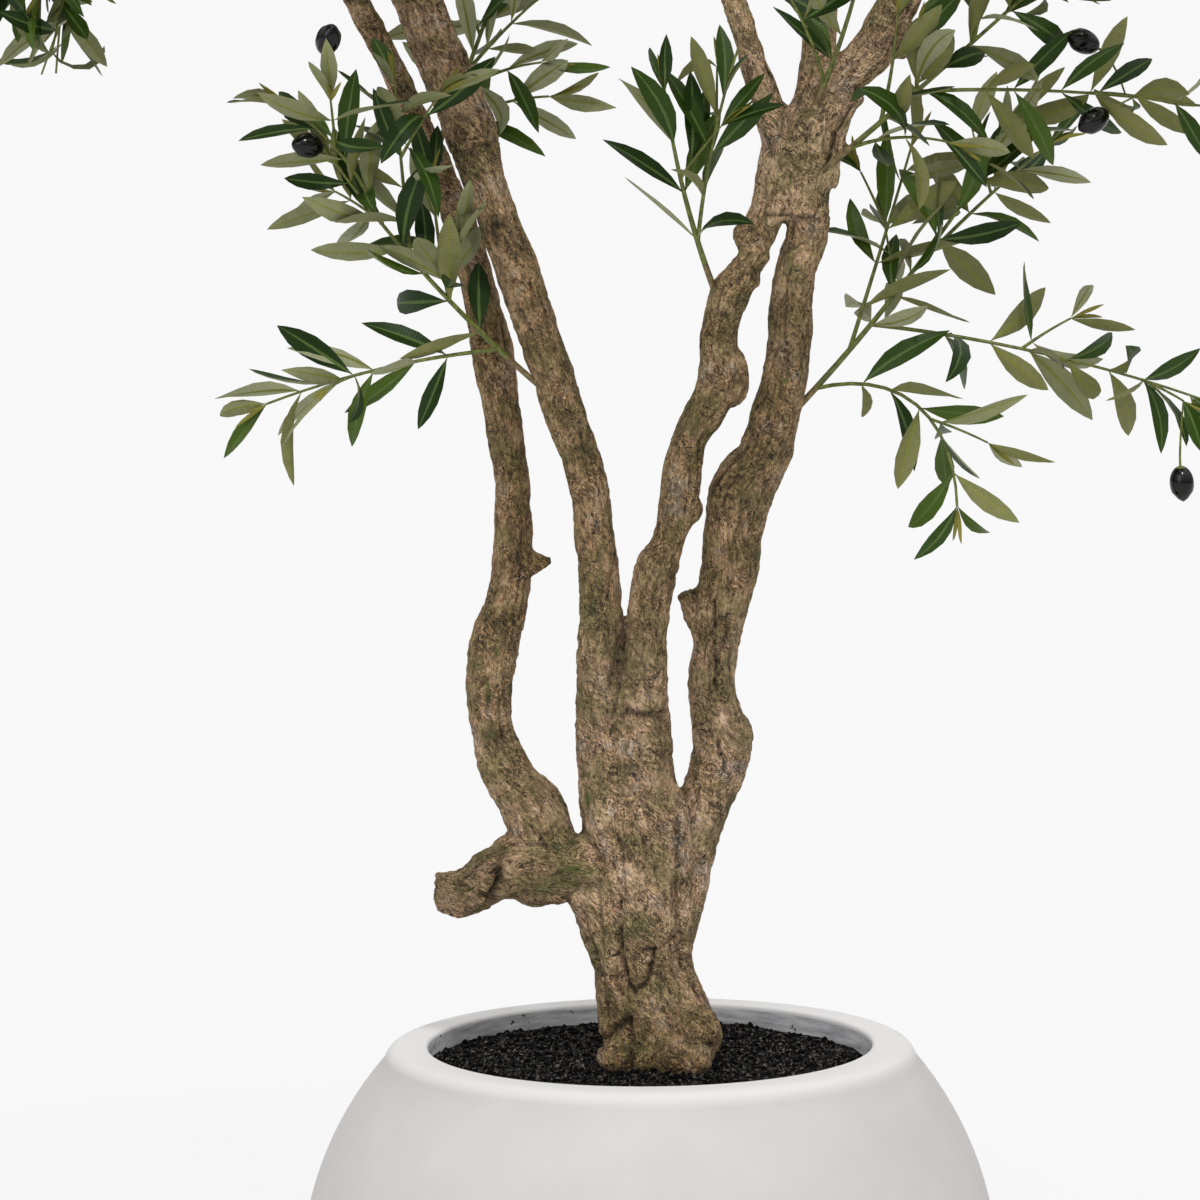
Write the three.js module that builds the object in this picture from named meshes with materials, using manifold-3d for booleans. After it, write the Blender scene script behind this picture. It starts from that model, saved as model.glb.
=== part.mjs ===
// An artificial olive tree in a round bowl planter, in millimetres, +Z up.
// +X is to the viewer's right and +Y away from the viewer.
// The origin is the centre of the bowl's flat underside.
// The trunk stands on the soil and parts into four stems. Two of them grow together again and fork
// into the crown.
import * as THREE from "three";
import { mergeVertices } from "three/addons/utils/BufferGeometryUtils.js";
import Module from "manifold-3d";

const wasm = await Module();
wasm.setup();
const { Manifold, Mesh: SolidMesh } = wasm;

// Bowl planter and soil
const BOWL_HEIGHT = 400;
const BOWL_RADIUS = 292; // at the widest
const WIDEST_AT = 200; // height of the widest ring
const FOOT_RADIUS = 165;
const SHOULDER_SPAN = 289; // half height of the ellipse that the upper half of the bowl follows
const SHOULDER_DROP = 12; // from the rim's top to where the ellipse ends
const MOUTH_RADIUS = 185; // inside the rim
const RIM_WIDTH = 31;
const RIM_ROUND = 10;
const LIP_ROUND = 3; // at the mouth
const LIP_DEPTH = 30; // of the straight wall under the rim, inside
const WALL = 22;
const FLOOR_THICKNESS = 24;
const SOIL_BELOW_RIM = 18;
const SOIL_TOP = BOWL_HEIGHT - SOIL_BELOW_RIM;
const BOWL_RINGS = 7;
const INNER_RING_HEIGHTS = [285, 200, 90];
const ROUND_SIDES = 28;

// Clearances
const GAP = 0.3; // between pieces that touch
const APART = 4; // between the spaces of two masses of foliage

// Wood
const LIMB_SIDES = 8;
const UPRIGHT_SIDES = 12; // of the thick upright pieces
const RING_STEP = 38; // along a stem, between rings
const BOUGH_RING_STEP = 56;
const CURVE_SAMPLES = 240; // where a place or a length along a limb is looked up
const BARK = new THREE.MeshStandardMaterial({ color: 0x8c7558, roughness: 0.95, metalness: 0 });

// Foliage
const LEAF_LENGTH = 96; // on the open sprays
const CROWN_LEAF_LENGTH = 138; // in the crown, where one leaf stands for a few
const LEAF_SLENDERNESS = 3.4; // length over width
const LEAF_THICKNESS = 3;
const LEAF_WIDEST_AT = 0.42; // along its length
const LEAF_SHOULDER_AT = 0.72; // where its middle is tried for room, besides its tip
const LEAF_DROOP = 0.1;
const LEAF_ANGLE = 46; // from its twig, in degrees
const LEAF_SPACING = 37; // along a twig
const LEAF_TRIES = 6; // ways that a leaf is turned before it is left out
const LAST_LEAF_AT = 0.985; // along a twig
const TWIG_SIDES = 3;
const STEM_RADIUS = 7; // where a mass leaves its limb
const STEM_TIP_RADIUS = 4;
const TWIG_SHARE = 0.46; // a twig's radius over that of its stem, where it starts
const TIP_RADIUS = 1.6;
const TWIG_ANGLE = 52;
const TWIG_ANGLE_SPREAD = 20;
const FIRST_TWIG_AT = 0.12; // along a stem of the crown
const LAST_TWIG_AT = 0.88;
const LONGEST_TWIG = 0.9; // over the reach of its mass
const TWIG_SHORTER_BY = 0.88; // at each try
const GOLDEN_ANGLE = 137.5;
const FRUIT_LENGTH = 29;
const FRUIT_WIDTH = 20;
const STALK_LENGTH = 26;
const STALK_SUNK = 4; // into the fruit
const LEAVES = new THREE.MeshStandardMaterial({ color: 0x4f6a3a, roughness: 0.7, metalness: 0 });
const POT = new THREE.MeshStandardMaterial({ color: 0xdcd9d7, roughness: 0.8, metalness: 0 });
const SOIL = new THREE.MeshStandardMaterial({ color: 0x17161a, roughness: 1, metalness: 0 });

// The outline of the crown, which holds every leaf but those of the low sprays
const CROWN_CENTRE = new THREE.Vector3(-10, 0, 1500);
const CROWN_HALF = new THREE.Vector3(650, 590, 600);
const CROWN_LOWEST = 1290;

const tree = new THREE.Group();
tree.name = "potted_olive_tree";

// Small helpers

const radians = THREE.MathUtils.degToRad;

// A unit vector from its bearing, counted from +X towards +Y, and its rise above the horizon, in degrees.
function heading([bearing, rise]) {
  const flat = Math.cos(radians(rise));
  return new THREE.Vector3(
    flat * Math.cos(radians(bearing)),
    flat * Math.sin(radians(bearing)),
    Math.sin(radians(rise)),
  );
}

// A seeded series of numbers from 0 to 1, the same on every run.
function series(seed) {
  let state = (seed * 2654435761 + 12345) >>> 0;
  return () => {
    state = (Math.imul(state, 1664525) + 1013904223) >>> 0;
    return state / 4294967296;
  };
}

function solidOf(geometry) {
  const bare = geometry.clone();
  bare.deleteAttribute("normal");
  bare.deleteAttribute("uv");
  const merged = mergeVertices(bare, 1e-4);
  return new Manifold(
    new SolidMesh({
      numProp: 3,
      vertProperties: merged.getAttribute("position").array,
      triVerts: new Uint32Array(merged.index.array),
    }),
  );
}

function geometryOf(solid) {
  const { numProp, vertProperties, triVerts } = solid.getMesh();
  const points = new Float32Array((vertProperties.length / numProp) * 3);
  for (let i = 0; i < points.length / 3; i++) {
    points.set(vertProperties.subarray(i * numProp, i * numProp + 3), i * 3);
  }
  const geometry = new THREE.BufferGeometry();
  geometry.setAttribute("position", new THREE.BufferAttribute(points, 3));
  geometry.setIndex(new THREE.BufferAttribute(triVerts, 1));
  geometry.computeVertexNormals();
  return geometry;
}

// Boolean cuts can leave a chip beside the piece. Only the piece itself is kept.
function largest(solid) {
  return solid.decompose().sort((a, b) => b.volume() - a.volume())[0];
}

function add(name, solid, material) {
  const mesh = new THREE.Mesh(geometryOf(largest(solid)), material);
  mesh.name = name;
  tree.add(mesh);
}

// A capped cylinder of radius 1 and height 1, bent along a curve and given the curve's radius at each ring.
// radiusAt(t) gives [radius across, radius in depth].
function bentCylinder(curve, radiusAt, sides, rings) {
  const geometry = new THREE.CylinderGeometry(1, 1, 1, sides, rings);
  const frames = curve.computeFrenetFrames(rings, false);
  const places = geometry.getAttribute("position");
  for (let i = 0; i < places.count; i++) {
    const ring = Math.round((places.getY(i) + 0.5) * rings);
    const [across, deep] = radiusAt(ring / rings);
    const place = curve
      .getPointAt(ring / rings)
      .addScaledVector(frames.normals[ring], places.getZ(i) * deep)
      .addScaledVector(frames.binormals[ring], places.getX(i) * across);
    places.setXYZ(i, place.x, place.y, place.z);
  }
  const solid = solidOf(geometry);
  return solid.volume() < 0 ? solidOf(turnedInsideOut(geometry)) : solid;
}

function turnedInsideOut(geometry) {
  const index = geometry.index.array;
  for (let i = 0; i < index.length; i += 3) {
    [index[i + 1], index[i + 2]] = [index[i + 2], index[i + 1]];
  }
  return geometry;
}

// Bowl: the outside is an ellipse from the shoulder to the widest ring and another from there to the foot.

function bowlRadius(height) {
  const above = height > WIDEST_AT;
  const span = above ? SHOULDER_SPAN : WIDEST_AT / Math.sqrt(1 - (FOOT_RADIUS / BOWL_RADIUS) ** 2);
  return BOWL_RADIUS * Math.sqrt(1 - ((height - WIDEST_AT) / span) ** 2);
}

function bowlOutside() {
  const points = [];
  for (let i = 0; i <= BOWL_RINGS; i++) {
    const height = ((BOWL_HEIGHT - SHOULDER_DROP) * i) / BOWL_RINGS;
    points.push(new THREE.Vector2(bowlRadius(height), height));
  }
  const rim = MOUTH_RADIUS + RIM_WIDTH;
  points.push(new THREE.Vector2(rim, BOWL_HEIGHT - SHOULDER_DROP / 3));
  points.push(new THREE.Vector2(rim - RIM_ROUND, BOWL_HEIGHT));
  points.push(new THREE.Vector2(MOUTH_RADIUS + LIP_ROUND, BOWL_HEIGHT));
  points.push(new THREE.Vector2(MOUTH_RADIUS, BOWL_HEIGHT - LIP_ROUND));
  return points;
}

function bowlInside() {
  const walls = [...INNER_RING_HEIGHTS, FLOOR_THICKNESS].map(
    (height) => new THREE.Vector2(bowlRadius(height) - WALL, height),
  );
  return [new THREE.Vector2(MOUTH_RADIUS, BOWL_HEIGHT - LIP_DEPTH), ...walls];
}

function turned(profile) {
  const lathe = new THREE.LatheGeometry(profile, ROUND_SIDES);
  lathe.rotateX(Math.PI / 2);
  const solid = solidOf(lathe);
  return solid.volume() < 0 ? solidOf(turnedInsideOut(lathe)) : solid;
}

const axisAt = (height) => new THREE.Vector2(0, height);
add("bowl_planter", turned([axisAt(0), ...bowlOutside(), ...bowlInside(), axisAt(FLOOR_THICKNESS)]), POT);

const soilEdge = bowlInside().map((point) => new THREE.Vector2(point.x - GAP, point.y));
soilEdge.at(-1).y += GAP;
add(
  "soil",
  turned([
    axisAt(FLOOR_THICKNESS + GAP),
    ...soilEdge.reverse(),
    new THREE.Vector2(MOUTH_RADIUS - GAP, SOIL_TOP),
    axisAt(SOIL_TOP),
  ]),
  SOIL,
);

// Limbs. Each station is [across, depth, height, radius]. Depth is positive away from the viewer.

const LIMBS = {
  stem_back_left: [
    [-78, 4, 560, 34], [-97, 6, 594, 27], [-117, 8, 622, 22], [-133, 12, 690, 19.5],
    [-129, 18, 735, 21], [-116, 28, 785, 17], [-115, 36, 860, 15], [-132, 46, 975, 17.5],
    [-150, 56, 1052, 14.5], [-182, 62, 1140, 12], [-243, 72, 1263, 10.5], [-322, 110, 1400, 9],
    [-365, 150, 1500, 7.5],
  ],
  stem_front_left: [
    [-36, -2, 640, 24], [-43, -4, 700, 19], [-41, -9, 770, 18.5], [-50, -14, 860, 17],
    [-78, -17, 950, 17], [-112, -18, 1050, 18.5], [-136, -17, 1115, 18], [-153, -16, 1172, 22],
    [-190, -14, 1260, 20], [-240, -27, 1380, 15], [-300, -58, 1495, 11], [-330, -80, 1570, 8],
  ],
  stem_middle: [
    [-10, -4, 640, 24], [-5, -5, 700, 20], [-3, -7, 755, 18.5], [8, -9, 803, 19], [22, -10, 850, 15.5],
    [30, -10, 900, 15.5], [54, -10, 945, 17.5], [55, -9, 990, 14.5], [62, -8, 1025, 18.5],
    [82, -5, 1068, 16.5], [99, -2, 1105, 16.5],
  ],
  stem_right: [
    [8, 6, 490, 30], [31, 8, 560, 24], [46, 12, 603, 23], [60, 14, 648, 25.5], [51, 16, 700, 22],
    [56, 19, 770, 24.5], [66, 20, 835, 25.5], [80, 17, 872, 28], [102, 13, 915, 22],
    [113, 8, 970, 18.5], [118, 4, 1035, 19.5], [127, 1, 1092, 18],
  ],
  bough_inner: [
    [110, -2, 1145, 18], [92, -7, 1188, 12.5], [72, -15, 1248, 10.5], [35, -50, 1370, 10],
    [10, -80, 1460, 8.5], [-5, -110, 1540, 7],
  ],
  bough_middle: [
    [130, 2, 1160, 20], [138, 10, 1222, 15], [139, 30, 1310, 13], [120, 75, 1450, 11],
    [105, 115, 1650, 7.5],
  ],
  bough_outer: [
    [136, 0, 1145, 22], [156, -2, 1192, 18], [184, -4, 1224, 19], [202, -6, 1260, 17.5], [235, -10, 1340, 16],
    [270, -12, 1420, 14], [345, -5, 1590, 8],
  ],
  bough_top_left: [
    [-218, -20, 1325, 13], [-203, 8, 1400, 12], [-182, 28, 1490, 10.5], [-170, 40, 1580, 8],
  ],
  bough_left_front: [
    [-238, -27, 1375, 11], [-298, -125, 1440, 10], [-340, -220, 1500, 7],
  ],
  bough_back_left: [
    [-262, 80, 1295, 8], [-262, 180, 1360, 8], [-250, 270, 1430, 6.5],
  ],
  bough_front: [
    [52, -34, 1315, 8], [60, -150, 1390, 8], [70, -250, 1450, 6.5],
  ],
  bough_back: [
    [130, 52, 1380, 10], [112, 160, 1455, 9], [90, 250, 1530, 7],
  ],
  bough_right_front: [
    [230, -10, 1330, 12], [300, -90, 1390, 10], [370, -170, 1440, 7.5],
  ],
  bough_right_back: [
    [262, -12, 1402, 11], [330, 80, 1455, 9], [380, 160, 1520, 7],
  ],
};

// The short limb at the trunk's left, sawn off flat
const SAWN_LIMB = [
  [-20, 0, 562, 34], [-62, 0, 556, 37], [-96, 0, 552, 30], [-126, -6, 547, 21], [-152, -14, 530, 17],
  [-177, -18, 529, 15],
];

// The trunk's stations have two radii, across and in depth: it is flattened where the stems part.
const TRUNK = [
  [7, 0, 340, 50, 47], [7, 0, 412, 51, 46], [2, 0, 438, 47, 42], [-6, 0, 468, 42, 38], [-6, 0, 520, 45, 39],
  [-10, 0, 570, 47, 38], [-20, 0, 625, 41, 33], [-23, -2, 680, 39, 26], [-24, -4, 712, 37, 20],
];
const CROWN_FORK = [
  [112, 0, 1084, 33, 21], [116, 0, 1110, 32, 23], [121, 0, 1138, 32, 24], [126, 0, 1162, 31, 23],
  [130, 0, 1176, 22, 16],
];

// Roots that flare from the foot: [bearing, reach, radius]
const ROOTS = [[215, 34, 20], [330, 30, 25], [20, 36, 22], [95, 30, 20], [150, 24, 20]];

// Along each root: [share of its reach, height over the soil, share of its radius]
const ROOT_STATIONS = [[0, 70, 0.7], [0.7, 30, 0.95], [1, -22, 1.15]];

// Short broken spurs: [limb, height on the limb, bearing, rise, length, radius at the root, radius at the tip]
const SPURS = [
  ["stem_back_left", 797, 350, 5, 33, 17, 4],
  ["stem_right", 722, 185, 66, 60, 13, 8.5],
  ["crown_fork", 1120, 340, 59, 76, 13, 7],
];

function pathOf(stations) {
  const points = stations.map(([x, y, z]) => new THREE.Vector3(x, y, z));
  return new THREE.CatmullRomCurve3(points, false, "centripetal");
}

// Radii follow the same stations, as a smooth curve through them.
function radiiOf(stations, path, swell) {
  const lengths = path.getLengths(CURVE_SAMPLES);
  const whole = lengths.at(-1);
  const sampleAt = (i) => Math.round((i / (stations.length - 1)) * CURVE_SAMPLES);
  const at = stations.map((_, i) => lengths[sampleAt(i)] / whole);
  return (t) => {
    let i = 0;
    while (i < at.length - 2 && t > at[i + 1]) {
      i++;
    }
    const share = THREE.MathUtils.smoothstep(t, at[i], at[i + 1]);
    const [a, b] = [stations[i], stations[i + 1]];
    const across = THREE.MathUtils.lerp(a[3], b[3], share) + swell;
    const deep = THREE.MathUtils.lerp(a[4] ?? a[3], b[4] ?? b[3], share) + swell;
    return [across, deep];
  };
}

function limb(stations, swell = 0, step = RING_STEP) {
  const path = pathOf(stations);
  const rings = Math.max(3, Math.round(path.getLength() / step));
  return bentCylinder(path, radiiOf(stations, path, swell), LIMB_SIDES, rings);
}

function bough(stations, swell = 0) {
  return limb(stations, swell, BOUGH_RING_STEP);
}

// A limb whose rings stay level, for the thick upright pieces with two radii.
function uprightLimb(stations, swell = 0) {
  const path = pathOf(stations);
  const radiusAt = radiiOf(stations, path, swell);
  const rings = Math.round(path.getLength() / RING_STEP);
  const geometry = new THREE.CylinderGeometry(1, 1, 1, UPRIGHT_SIDES, rings);
  geometry.rotateX(Math.PI / 2);
  const places = geometry.getAttribute("position");
  for (let i = 0; i < places.count; i++) {
    const t = Math.round((places.getZ(i) + 0.5) * rings) / rings;
    const centre = path.getPointAt(t);
    const [across, deep] = radiusAt(t);
    places.setXYZ(i, centre.x + places.getX(i) * across, centre.y + places.getY(i) * deep, centre.z);
  }
  return solidOf(geometry);
}

function cutFlatBelow(solid, height) {
  const block = new THREE.BoxGeometry(2 * BOWL_RADIUS, 2 * BOWL_RADIUS, height);
  block.translate(0, 0, height / 2);
  return solid.subtract(solidOf(block));
}

// The point on a limb's axis that is nearest to a height.
function axisPoint(stations, height) {
  const off = (point) => Math.abs(point.z - height);
  return pathOf(stations).getSpacedPoints(CURVE_SAMPLES).reduce((a, b) => (off(b) < off(a) ? b : a));
}

function spursOn(name, stations, swell) {
  return SPURS.filter((spur) => spur[0] === name).map(([, height, bearing, rise, length, thick, thin]) => {
    const start = axisPoint(stations, height);
    const end = start.clone().addScaledVector(heading([bearing, rise]), length);
    const middle = start.clone().lerp(end, 0.5);
    return limb([[...start, thick], [...middle, (thick + thin) / 2], [...end, thin]], swell);
  });
}

// A root swells out of the trunk, bends at a knee and is lost in the soil.
function root([bearing, reach, radius], swell) {
  const [x, y] = TRUNK[0];
  const out = heading([bearing, 0]).multiplyScalar(reach);
  const stations = ROOT_STATIONS.map(([share, rise, thickness]) => [
    x + out.x * share, y + out.y * share, SOIL_TOP + rise, radius * thickness,
  ]);
  return limb(stations, swell);
}

function trunkSolid(swell) {
  return Manifold.union([
    uprightLimb(TRUNK, swell),
    limb(SAWN_LIMB, swell),
    ...ROOTS.map((place) => root(place, swell)),
  ]);
}

// Each limb is cut clear of those before it by slightly swollen copies of them.
const SWELL = GAP * 1.2;
const wood = { trunk: cutFlatBelow(trunkSolid(0), SOIL_TOP + GAP) };
const cutters = { trunk: trunkSolid(SWELL) };

function grow(name, make) {
  wood[name] = largest(Object.values(cutters).reduce((solid, other) => solid.subtract(other), make(0)));
  cutters[name] = make(SWELL);
}

const withSpurs = (name, stations, body) => (swell) =>
  Manifold.union([body(stations, swell), ...spursOn(name, stations, swell)]);

grow("crown_fork", withSpurs("crown_fork", CROWN_FORK, uprightLimb));
for (const [name, stations] of Object.entries(LIMBS)) {
  grow(name, withSpurs(name, stations, name.startsWith("bough") ? bough : limb));
}
for (const [name, solid] of Object.entries(wood)) {
  add(name, solid, BARK);
}

// Masses of foliage. Each grows from one stem, given by a heading where it leaves its limb and another
// at its tip, both [bearing, rise], and by its length. A spray lists its own shoots as [share of the stem,
// heading, heading at the tip, length]. A mass of the crown has shoots by rule. Reach is how far a mass's
// space goes from its stems. From is the limb, with a height and a bearing where it isn't the limb's tip.

const MASSES = {
  spray_low_left: {
    from: ["stem_front_left", 947, 190], start: [192, 40], end: [198, 54], length: 262, reach: 96,
    shoots: [
      [0.2, [200, -4], [193, -20], 200], [0.42, [165, 78], [150, 84], 95], [0.6, [236, 80], [228, 84], 140],
      [0.74, [210, 66], [200, 34], 125],
    ],
  },
  spray_centre: {
    from: ["stem_middle", 1021, 190], start: [222, 62], end: [236, 76], length: 180, reach: 88,
    shoots: [[0.28, [288, 74], [322, 68], 165]],
  },
  spray_low_right: {
    from: ["stem_right", 928, 355], start: [10, 46], end: [12, 58], length: 305, reach: 92,
    shoots: [
      [0.08, [336, 14], [300, -86], 186], [0.22, [42, 66], [46, 66], 184],
      [0.31, [355, -6], [357, -20], 300], [0.5, [38, 38], [30, 34], 175],
    ],
  },
  spray_fork_right: {
    from: ["crown_fork", 1120, 325], start: [336, 38], end: [6, 42], length: 255, reach: 96,
    shoots: [
      [0.14, [322, 18], [328, -12], 95], [0.27, [306, 68], [291, 82], 90], [0.42, [349, 3], [355, -9], 235],
      [0.66, [330, 78], [10, 66], 90],
    ],
  },
  spray_fork_front: {
    from: ["crown_fork", 1172, 285], start: [302, 50], end: [301, 71], length: 165, reach: 75,
    shoots: [[0.18, [248, 53], [221, 50], 95]],
  },
  spray_behind_left: {
    from: ["stem_back_left", 1142, 40], start: [48, 60], end: [58, 58], length: 190, reach: 92,
    shoots: [[0.4, [10, 50], [0, 40], 95]],
  },
  crown_left_top: {
    from: ["stem_front_left"], start: [195, 52], end: [188, 30], length: 250, reach: 235,
  },
  crown_top_left: {
    from: ["bough_top_left"], start: [150, 80], end: [140, 86], length: 370, reach: 235,
  },
  crown_left_front: {
    from: ["bough_left_front"], start: [222, 30], end: [215, -8], length: 230, reach: 225,
  },
  crown_left_back: {
    from: ["stem_back_left"], start: [165, 26], end: [160, -12], length: 240, reach: 225,
  },
  crown_left_hanging: {
    from: ["stem_back_left", 1372, 185], start: [188, 8], end: [192, -58], length: 250, reach: 110,
    lowest: 1195,
  },
  crown_back_left: {
    from: ["bough_back_left"], start: [112, 32], end: [108, 8], length: 240, reach: 225,
  },
  crown_front_centre: {
    from: ["bough_inner"], start: [235, 55], end: [240, 20], length: 300, reach: 225,
  },
  crown_front_right: {
    from: ["bough_front"], start: [290, 20], end: [285, -6], length: 250, reach: 225,
  },
  crown_top: { from: ["bough_middle"], start: [60, 80], end: [70, 88], length: 340, reach: 235 },
  crown_back: { from: ["bough_back"], start: [84, 28], end: [80, -16], length: 270, reach: 235 },
  crown_right_top: { from: ["bough_outer"], start: [0, 52], end: [5, 30], length: 250, reach: 225 },
  crown_right_front: {
    from: ["bough_right_front"], start: [325, 16], end: [320, -24], length: 220, reach: 225,
  },
  crown_right_back: {
    from: ["bough_right_back"], start: [32, 16], end: [26, -24], length: 220, reach: 225,
  },
  crown_centre: {
    from: ["bough_inner", 1385, 190], start: [190, 40], end: [170, 78], length: 330, reach: 200,
  },
  crown_centre_back: {
    from: ["bough_middle", 1500, 195], start: [180, 44], end: [160, 70], length: 300, reach: 200,
  },
  crown_top_right: {
    from: ["bough_outer", 1490, 60], start: [60, 62], end: [330, 84], length: 400, reach: 225,
  },
  crown_top_front: {
    from: ["bough_inner", 1440, 300], start: [290, 66], end: [270, 80], length: 430, reach: 225,
  },
  crown_top_back: {
    from: ["bough_top_left", 1480, 90], start: [95, 58], end: [85, 76], length: 400, reach: 225,
  },
};
const CROWN_TWIGS = 6;
const STEM_STEPS = 4;
const SHOOT_STEPS = 3;
const LINE_STEPS = 12; // of a stem or shoot, where distances to it are measured
const FRUIT_EVERY = 40; // leaves

// A shoot of straight steps that turns evenly from one heading to another.
function shootPath(start, from, to, length, steps) {
  const shoot = new THREE.CurvePath();
  let here = start.clone();
  for (let i = 0; i < steps; i++) {
    const way = from.clone().lerp(to, (i + 0.5) / steps).normalize();
    const next = here.clone().addScaledVector(way, length / steps);
    shoot.add(new THREE.LineCurve3(here, next));
    here = next;
  }
  return shoot;
}

// Where a mass begins: past its limb's tip, or inside the limb's side so that the cut gives it a seat.
function rootOf([name, height, bearing]) {
  const stations = name === "crown_fork" ? CROWN_FORK : LIMBS[name];
  if (height === undefined) {
    const path = pathOf(stations);
    return path.getPointAt(1).addScaledVector(path.getTangentAt(1), GAP);
  }
  const side = heading([bearing, 0]);
  const start = axisPoint(stations, height);
  const radius = stations.reduce((a, b) => (Math.abs(b[2] - height) < Math.abs(a[2] - height) ? b : a));
  const across = radius[3] * Math.abs(side.x);
  const deep = (radius[4] ?? radius[3]) * Math.abs(side.y);
  return start.addScaledVector(side, Math.hypot(across, deep) - STEM_RADIUS);
}

// The stem and the listed shoots of every mass, which set out its space.
for (const mass of Object.values(MASSES)) {
  mass.stem = shootPath(rootOf(mass.from), heading(mass.start), heading(mass.end), mass.length, STEM_STEPS);
  mass.branches = (mass.shoots ?? []).map(([share, start, end, length]) =>
    shootPath(mass.stem.getPointAt(share), heading(start), heading(end), length, SHOOT_STEPS),
  );
  mass.lines = [mass.stem, ...mass.branches].map((line) => line.getSpacedPoints(LINE_STEPS));
}

const segment = new THREE.Line3();
const nearestPoint = new THREE.Vector3();

function distanceTo(mass, point) {
  let least = Infinity;
  for (const line of mass.lines) {
    for (let i = 1; i < line.length; i++) {
      segment.set(line[i - 1], line[i]);
      segment.closestPointToPoint(point, true, nearestPoint);
      least = Math.min(least, nearestPoint.distanceTo(point));
    }
  }
  return least;
}

// How far out a point lies in a mass's space, from 0 at its stems to 1 at its reach. Past its reach,
// under its lowest point or, for a mass of the crown, outside the crown's outline, it is Infinity.
function depthIn(mass, point, margin) {
  const share = (distanceTo(mass, point) + margin) / mass.reach;
  if (share > 1 || mass.shoots) {
    return share > 1 ? Infinity : share;
  }
  const out = point.clone().sub(CROWN_CENTRE).divide(CROWN_HALF).length();
  return out > 1 || point.z < (mass.lowest ?? CROWN_LOWEST) + margin ? Infinity : share;
}

// Every point belongs to the mass that it lies deepest in.
function inSpace(mass, point) {
  const own = depthIn(mass, point, APART);
  const others = Object.values(MASSES).filter((other) => other !== mass);
  return own <= 1 && others.every((other) => own < depthIn(other, point, -APART));
}

const allWood = Manifold.union(Object.values(cutters));
const clearOfWood = (solid) => solid.intersect(allWood).isEmpty();

// A leaf is a keeled blade with four faces: a ridge from its root to its tip above, and an edge across
// below, where it is widest. Its root is sunk in the twig.
function leafAt(root, way, face, length) {
  const leaf = new THREE.TetrahedronGeometry(Math.sqrt(3), 0);
  leaf.rotateZ(-Math.PI / 4);
  const places = leaf.getAttribute("position");
  for (let i = 0; i < places.count; i++) {
    const above = places.getZ(i) > 0;
    const along = above ? Math.round((places.getX(i) / Math.SQRT2 + 1) / 2) : LEAF_WIDEST_AT;
    places.setXYZ(
      i,
      along * length,
      (places.getY(i) / Math.SQRT2) * (length / LEAF_SLENDERNESS / 2),
      (places.getZ(i) * LEAF_THICKNESS) / 2,
    );
  }
  const side = new THREE.Vector3().crossVectors(face, way).normalize();
  const up = new THREE.Vector3().crossVectors(way, side);
  leaf.applyMatrix4(new THREE.Matrix4().makeBasis(way, side, up).setPosition(root));
  return solidOf(leaf);
}

function leafCorners(root, way, face, length) {
  const side = new THREE.Vector3().crossVectors(face, way).normalize();
  const middle = root.clone().addScaledVector(way, length * LEAF_WIDEST_AT);
  const half = length / LEAF_SLENDERNESS / 2;
  return [
    root.clone().addScaledVector(way, length),
    root.clone().addScaledVector(way, length * LEAF_SHOULDER_AT),
    middle.clone().addScaledVector(side, half),
    middle.clone().addScaledVector(side, -half),
  ];
}

function twigSolid(path, thick, thin, rings) {
  const radiusAt = (t) => Array(2).fill(THREE.MathUtils.lerp(thick, thin, t));
  return bentCylinder(path, radiusAt, TWIG_SIDES, rings);
}

function twigRadius(share) {
  return TWIG_SHARE * THREE.MathUtils.lerp(STEM_RADIUS, STEM_TIP_RADIUS, share);
}

// A direction that stands off a twig at an angle, turned round it by spin.
function offTwig(along, spin, angle) {
  const level = new THREE.Vector3(0, 0, 1).cross(along);
  const side = (level.length() > 0.1 ? level : new THREE.Vector3(1, 0, 0).cross(along)).normalize();
  side.applyAxisAngle(along, radians(spin));
  side.multiplyScalar(Math.sin(radians(angle)));
  return side.addScaledVector(along, Math.cos(radians(angle)));
}

function fruitOn(twig, random, keep) {
  const hang = new THREE.Vector3(random() - 0.5, random() - 0.5, -3).normalize();
  const end = twig.clone().addScaledVector(hang, STALK_LENGTH + FRUIT_LENGTH + FRUIT_WIDTH);
  if (!keep(end)) {
    return [];
  }
  const stalk = new THREE.LineCurve3(twig, twig.clone().addScaledVector(hang, STALK_LENGTH + STALK_SUNK));
  const olive = new THREE.SphereGeometry(1, 6, 4);
  olive.rotateX(Math.PI / 2);
  olive.scale(FRUIT_WIDTH / 2, FRUIT_WIDTH / 2, FRUIT_LENGTH / 2);
  olive.translate(...twig.clone().addScaledVector(hang, STALK_LENGTH + FRUIT_LENGTH / 2));
  return [twigSolid(stalk, TIP_RADIUS, TIP_RADIUS, 1), solidOf(olive)];
}

// The first turn of a leaf that stays in the mass's space and clear of wood and other foliage, or null.
function fittingLeaf(root, along, spin, atTip, mass, random) {
  const size = (mass.shoots ? LEAF_LENGTH : CROWN_LEAF_LENGTH) * (0.85 + random() * 0.3);
  const angle = LEAF_ANGLE + (random() - 0.5) * 20;
  const face = new THREE.Vector3(random() - 0.5, random() - 0.5, 0.8 + random() * 0.4);
  for (let i = 0; i < LEAF_TRIES; i++) {
    const way = offTwig(along, spin + (i * 360) / LEAF_TRIES, atTip ? 12 * i : angle);
    way.z -= LEAF_DROOP;
    way.normalize();
    if (leafCorners(root, way, face, size).every((corner) => inSpace(mass, corner))) {
      const leaf = leafAt(root, way, face, size);
      if (clearOfWood(leaf)) {
        return leaf;
      }
    }
  }
  return null;
}

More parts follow.
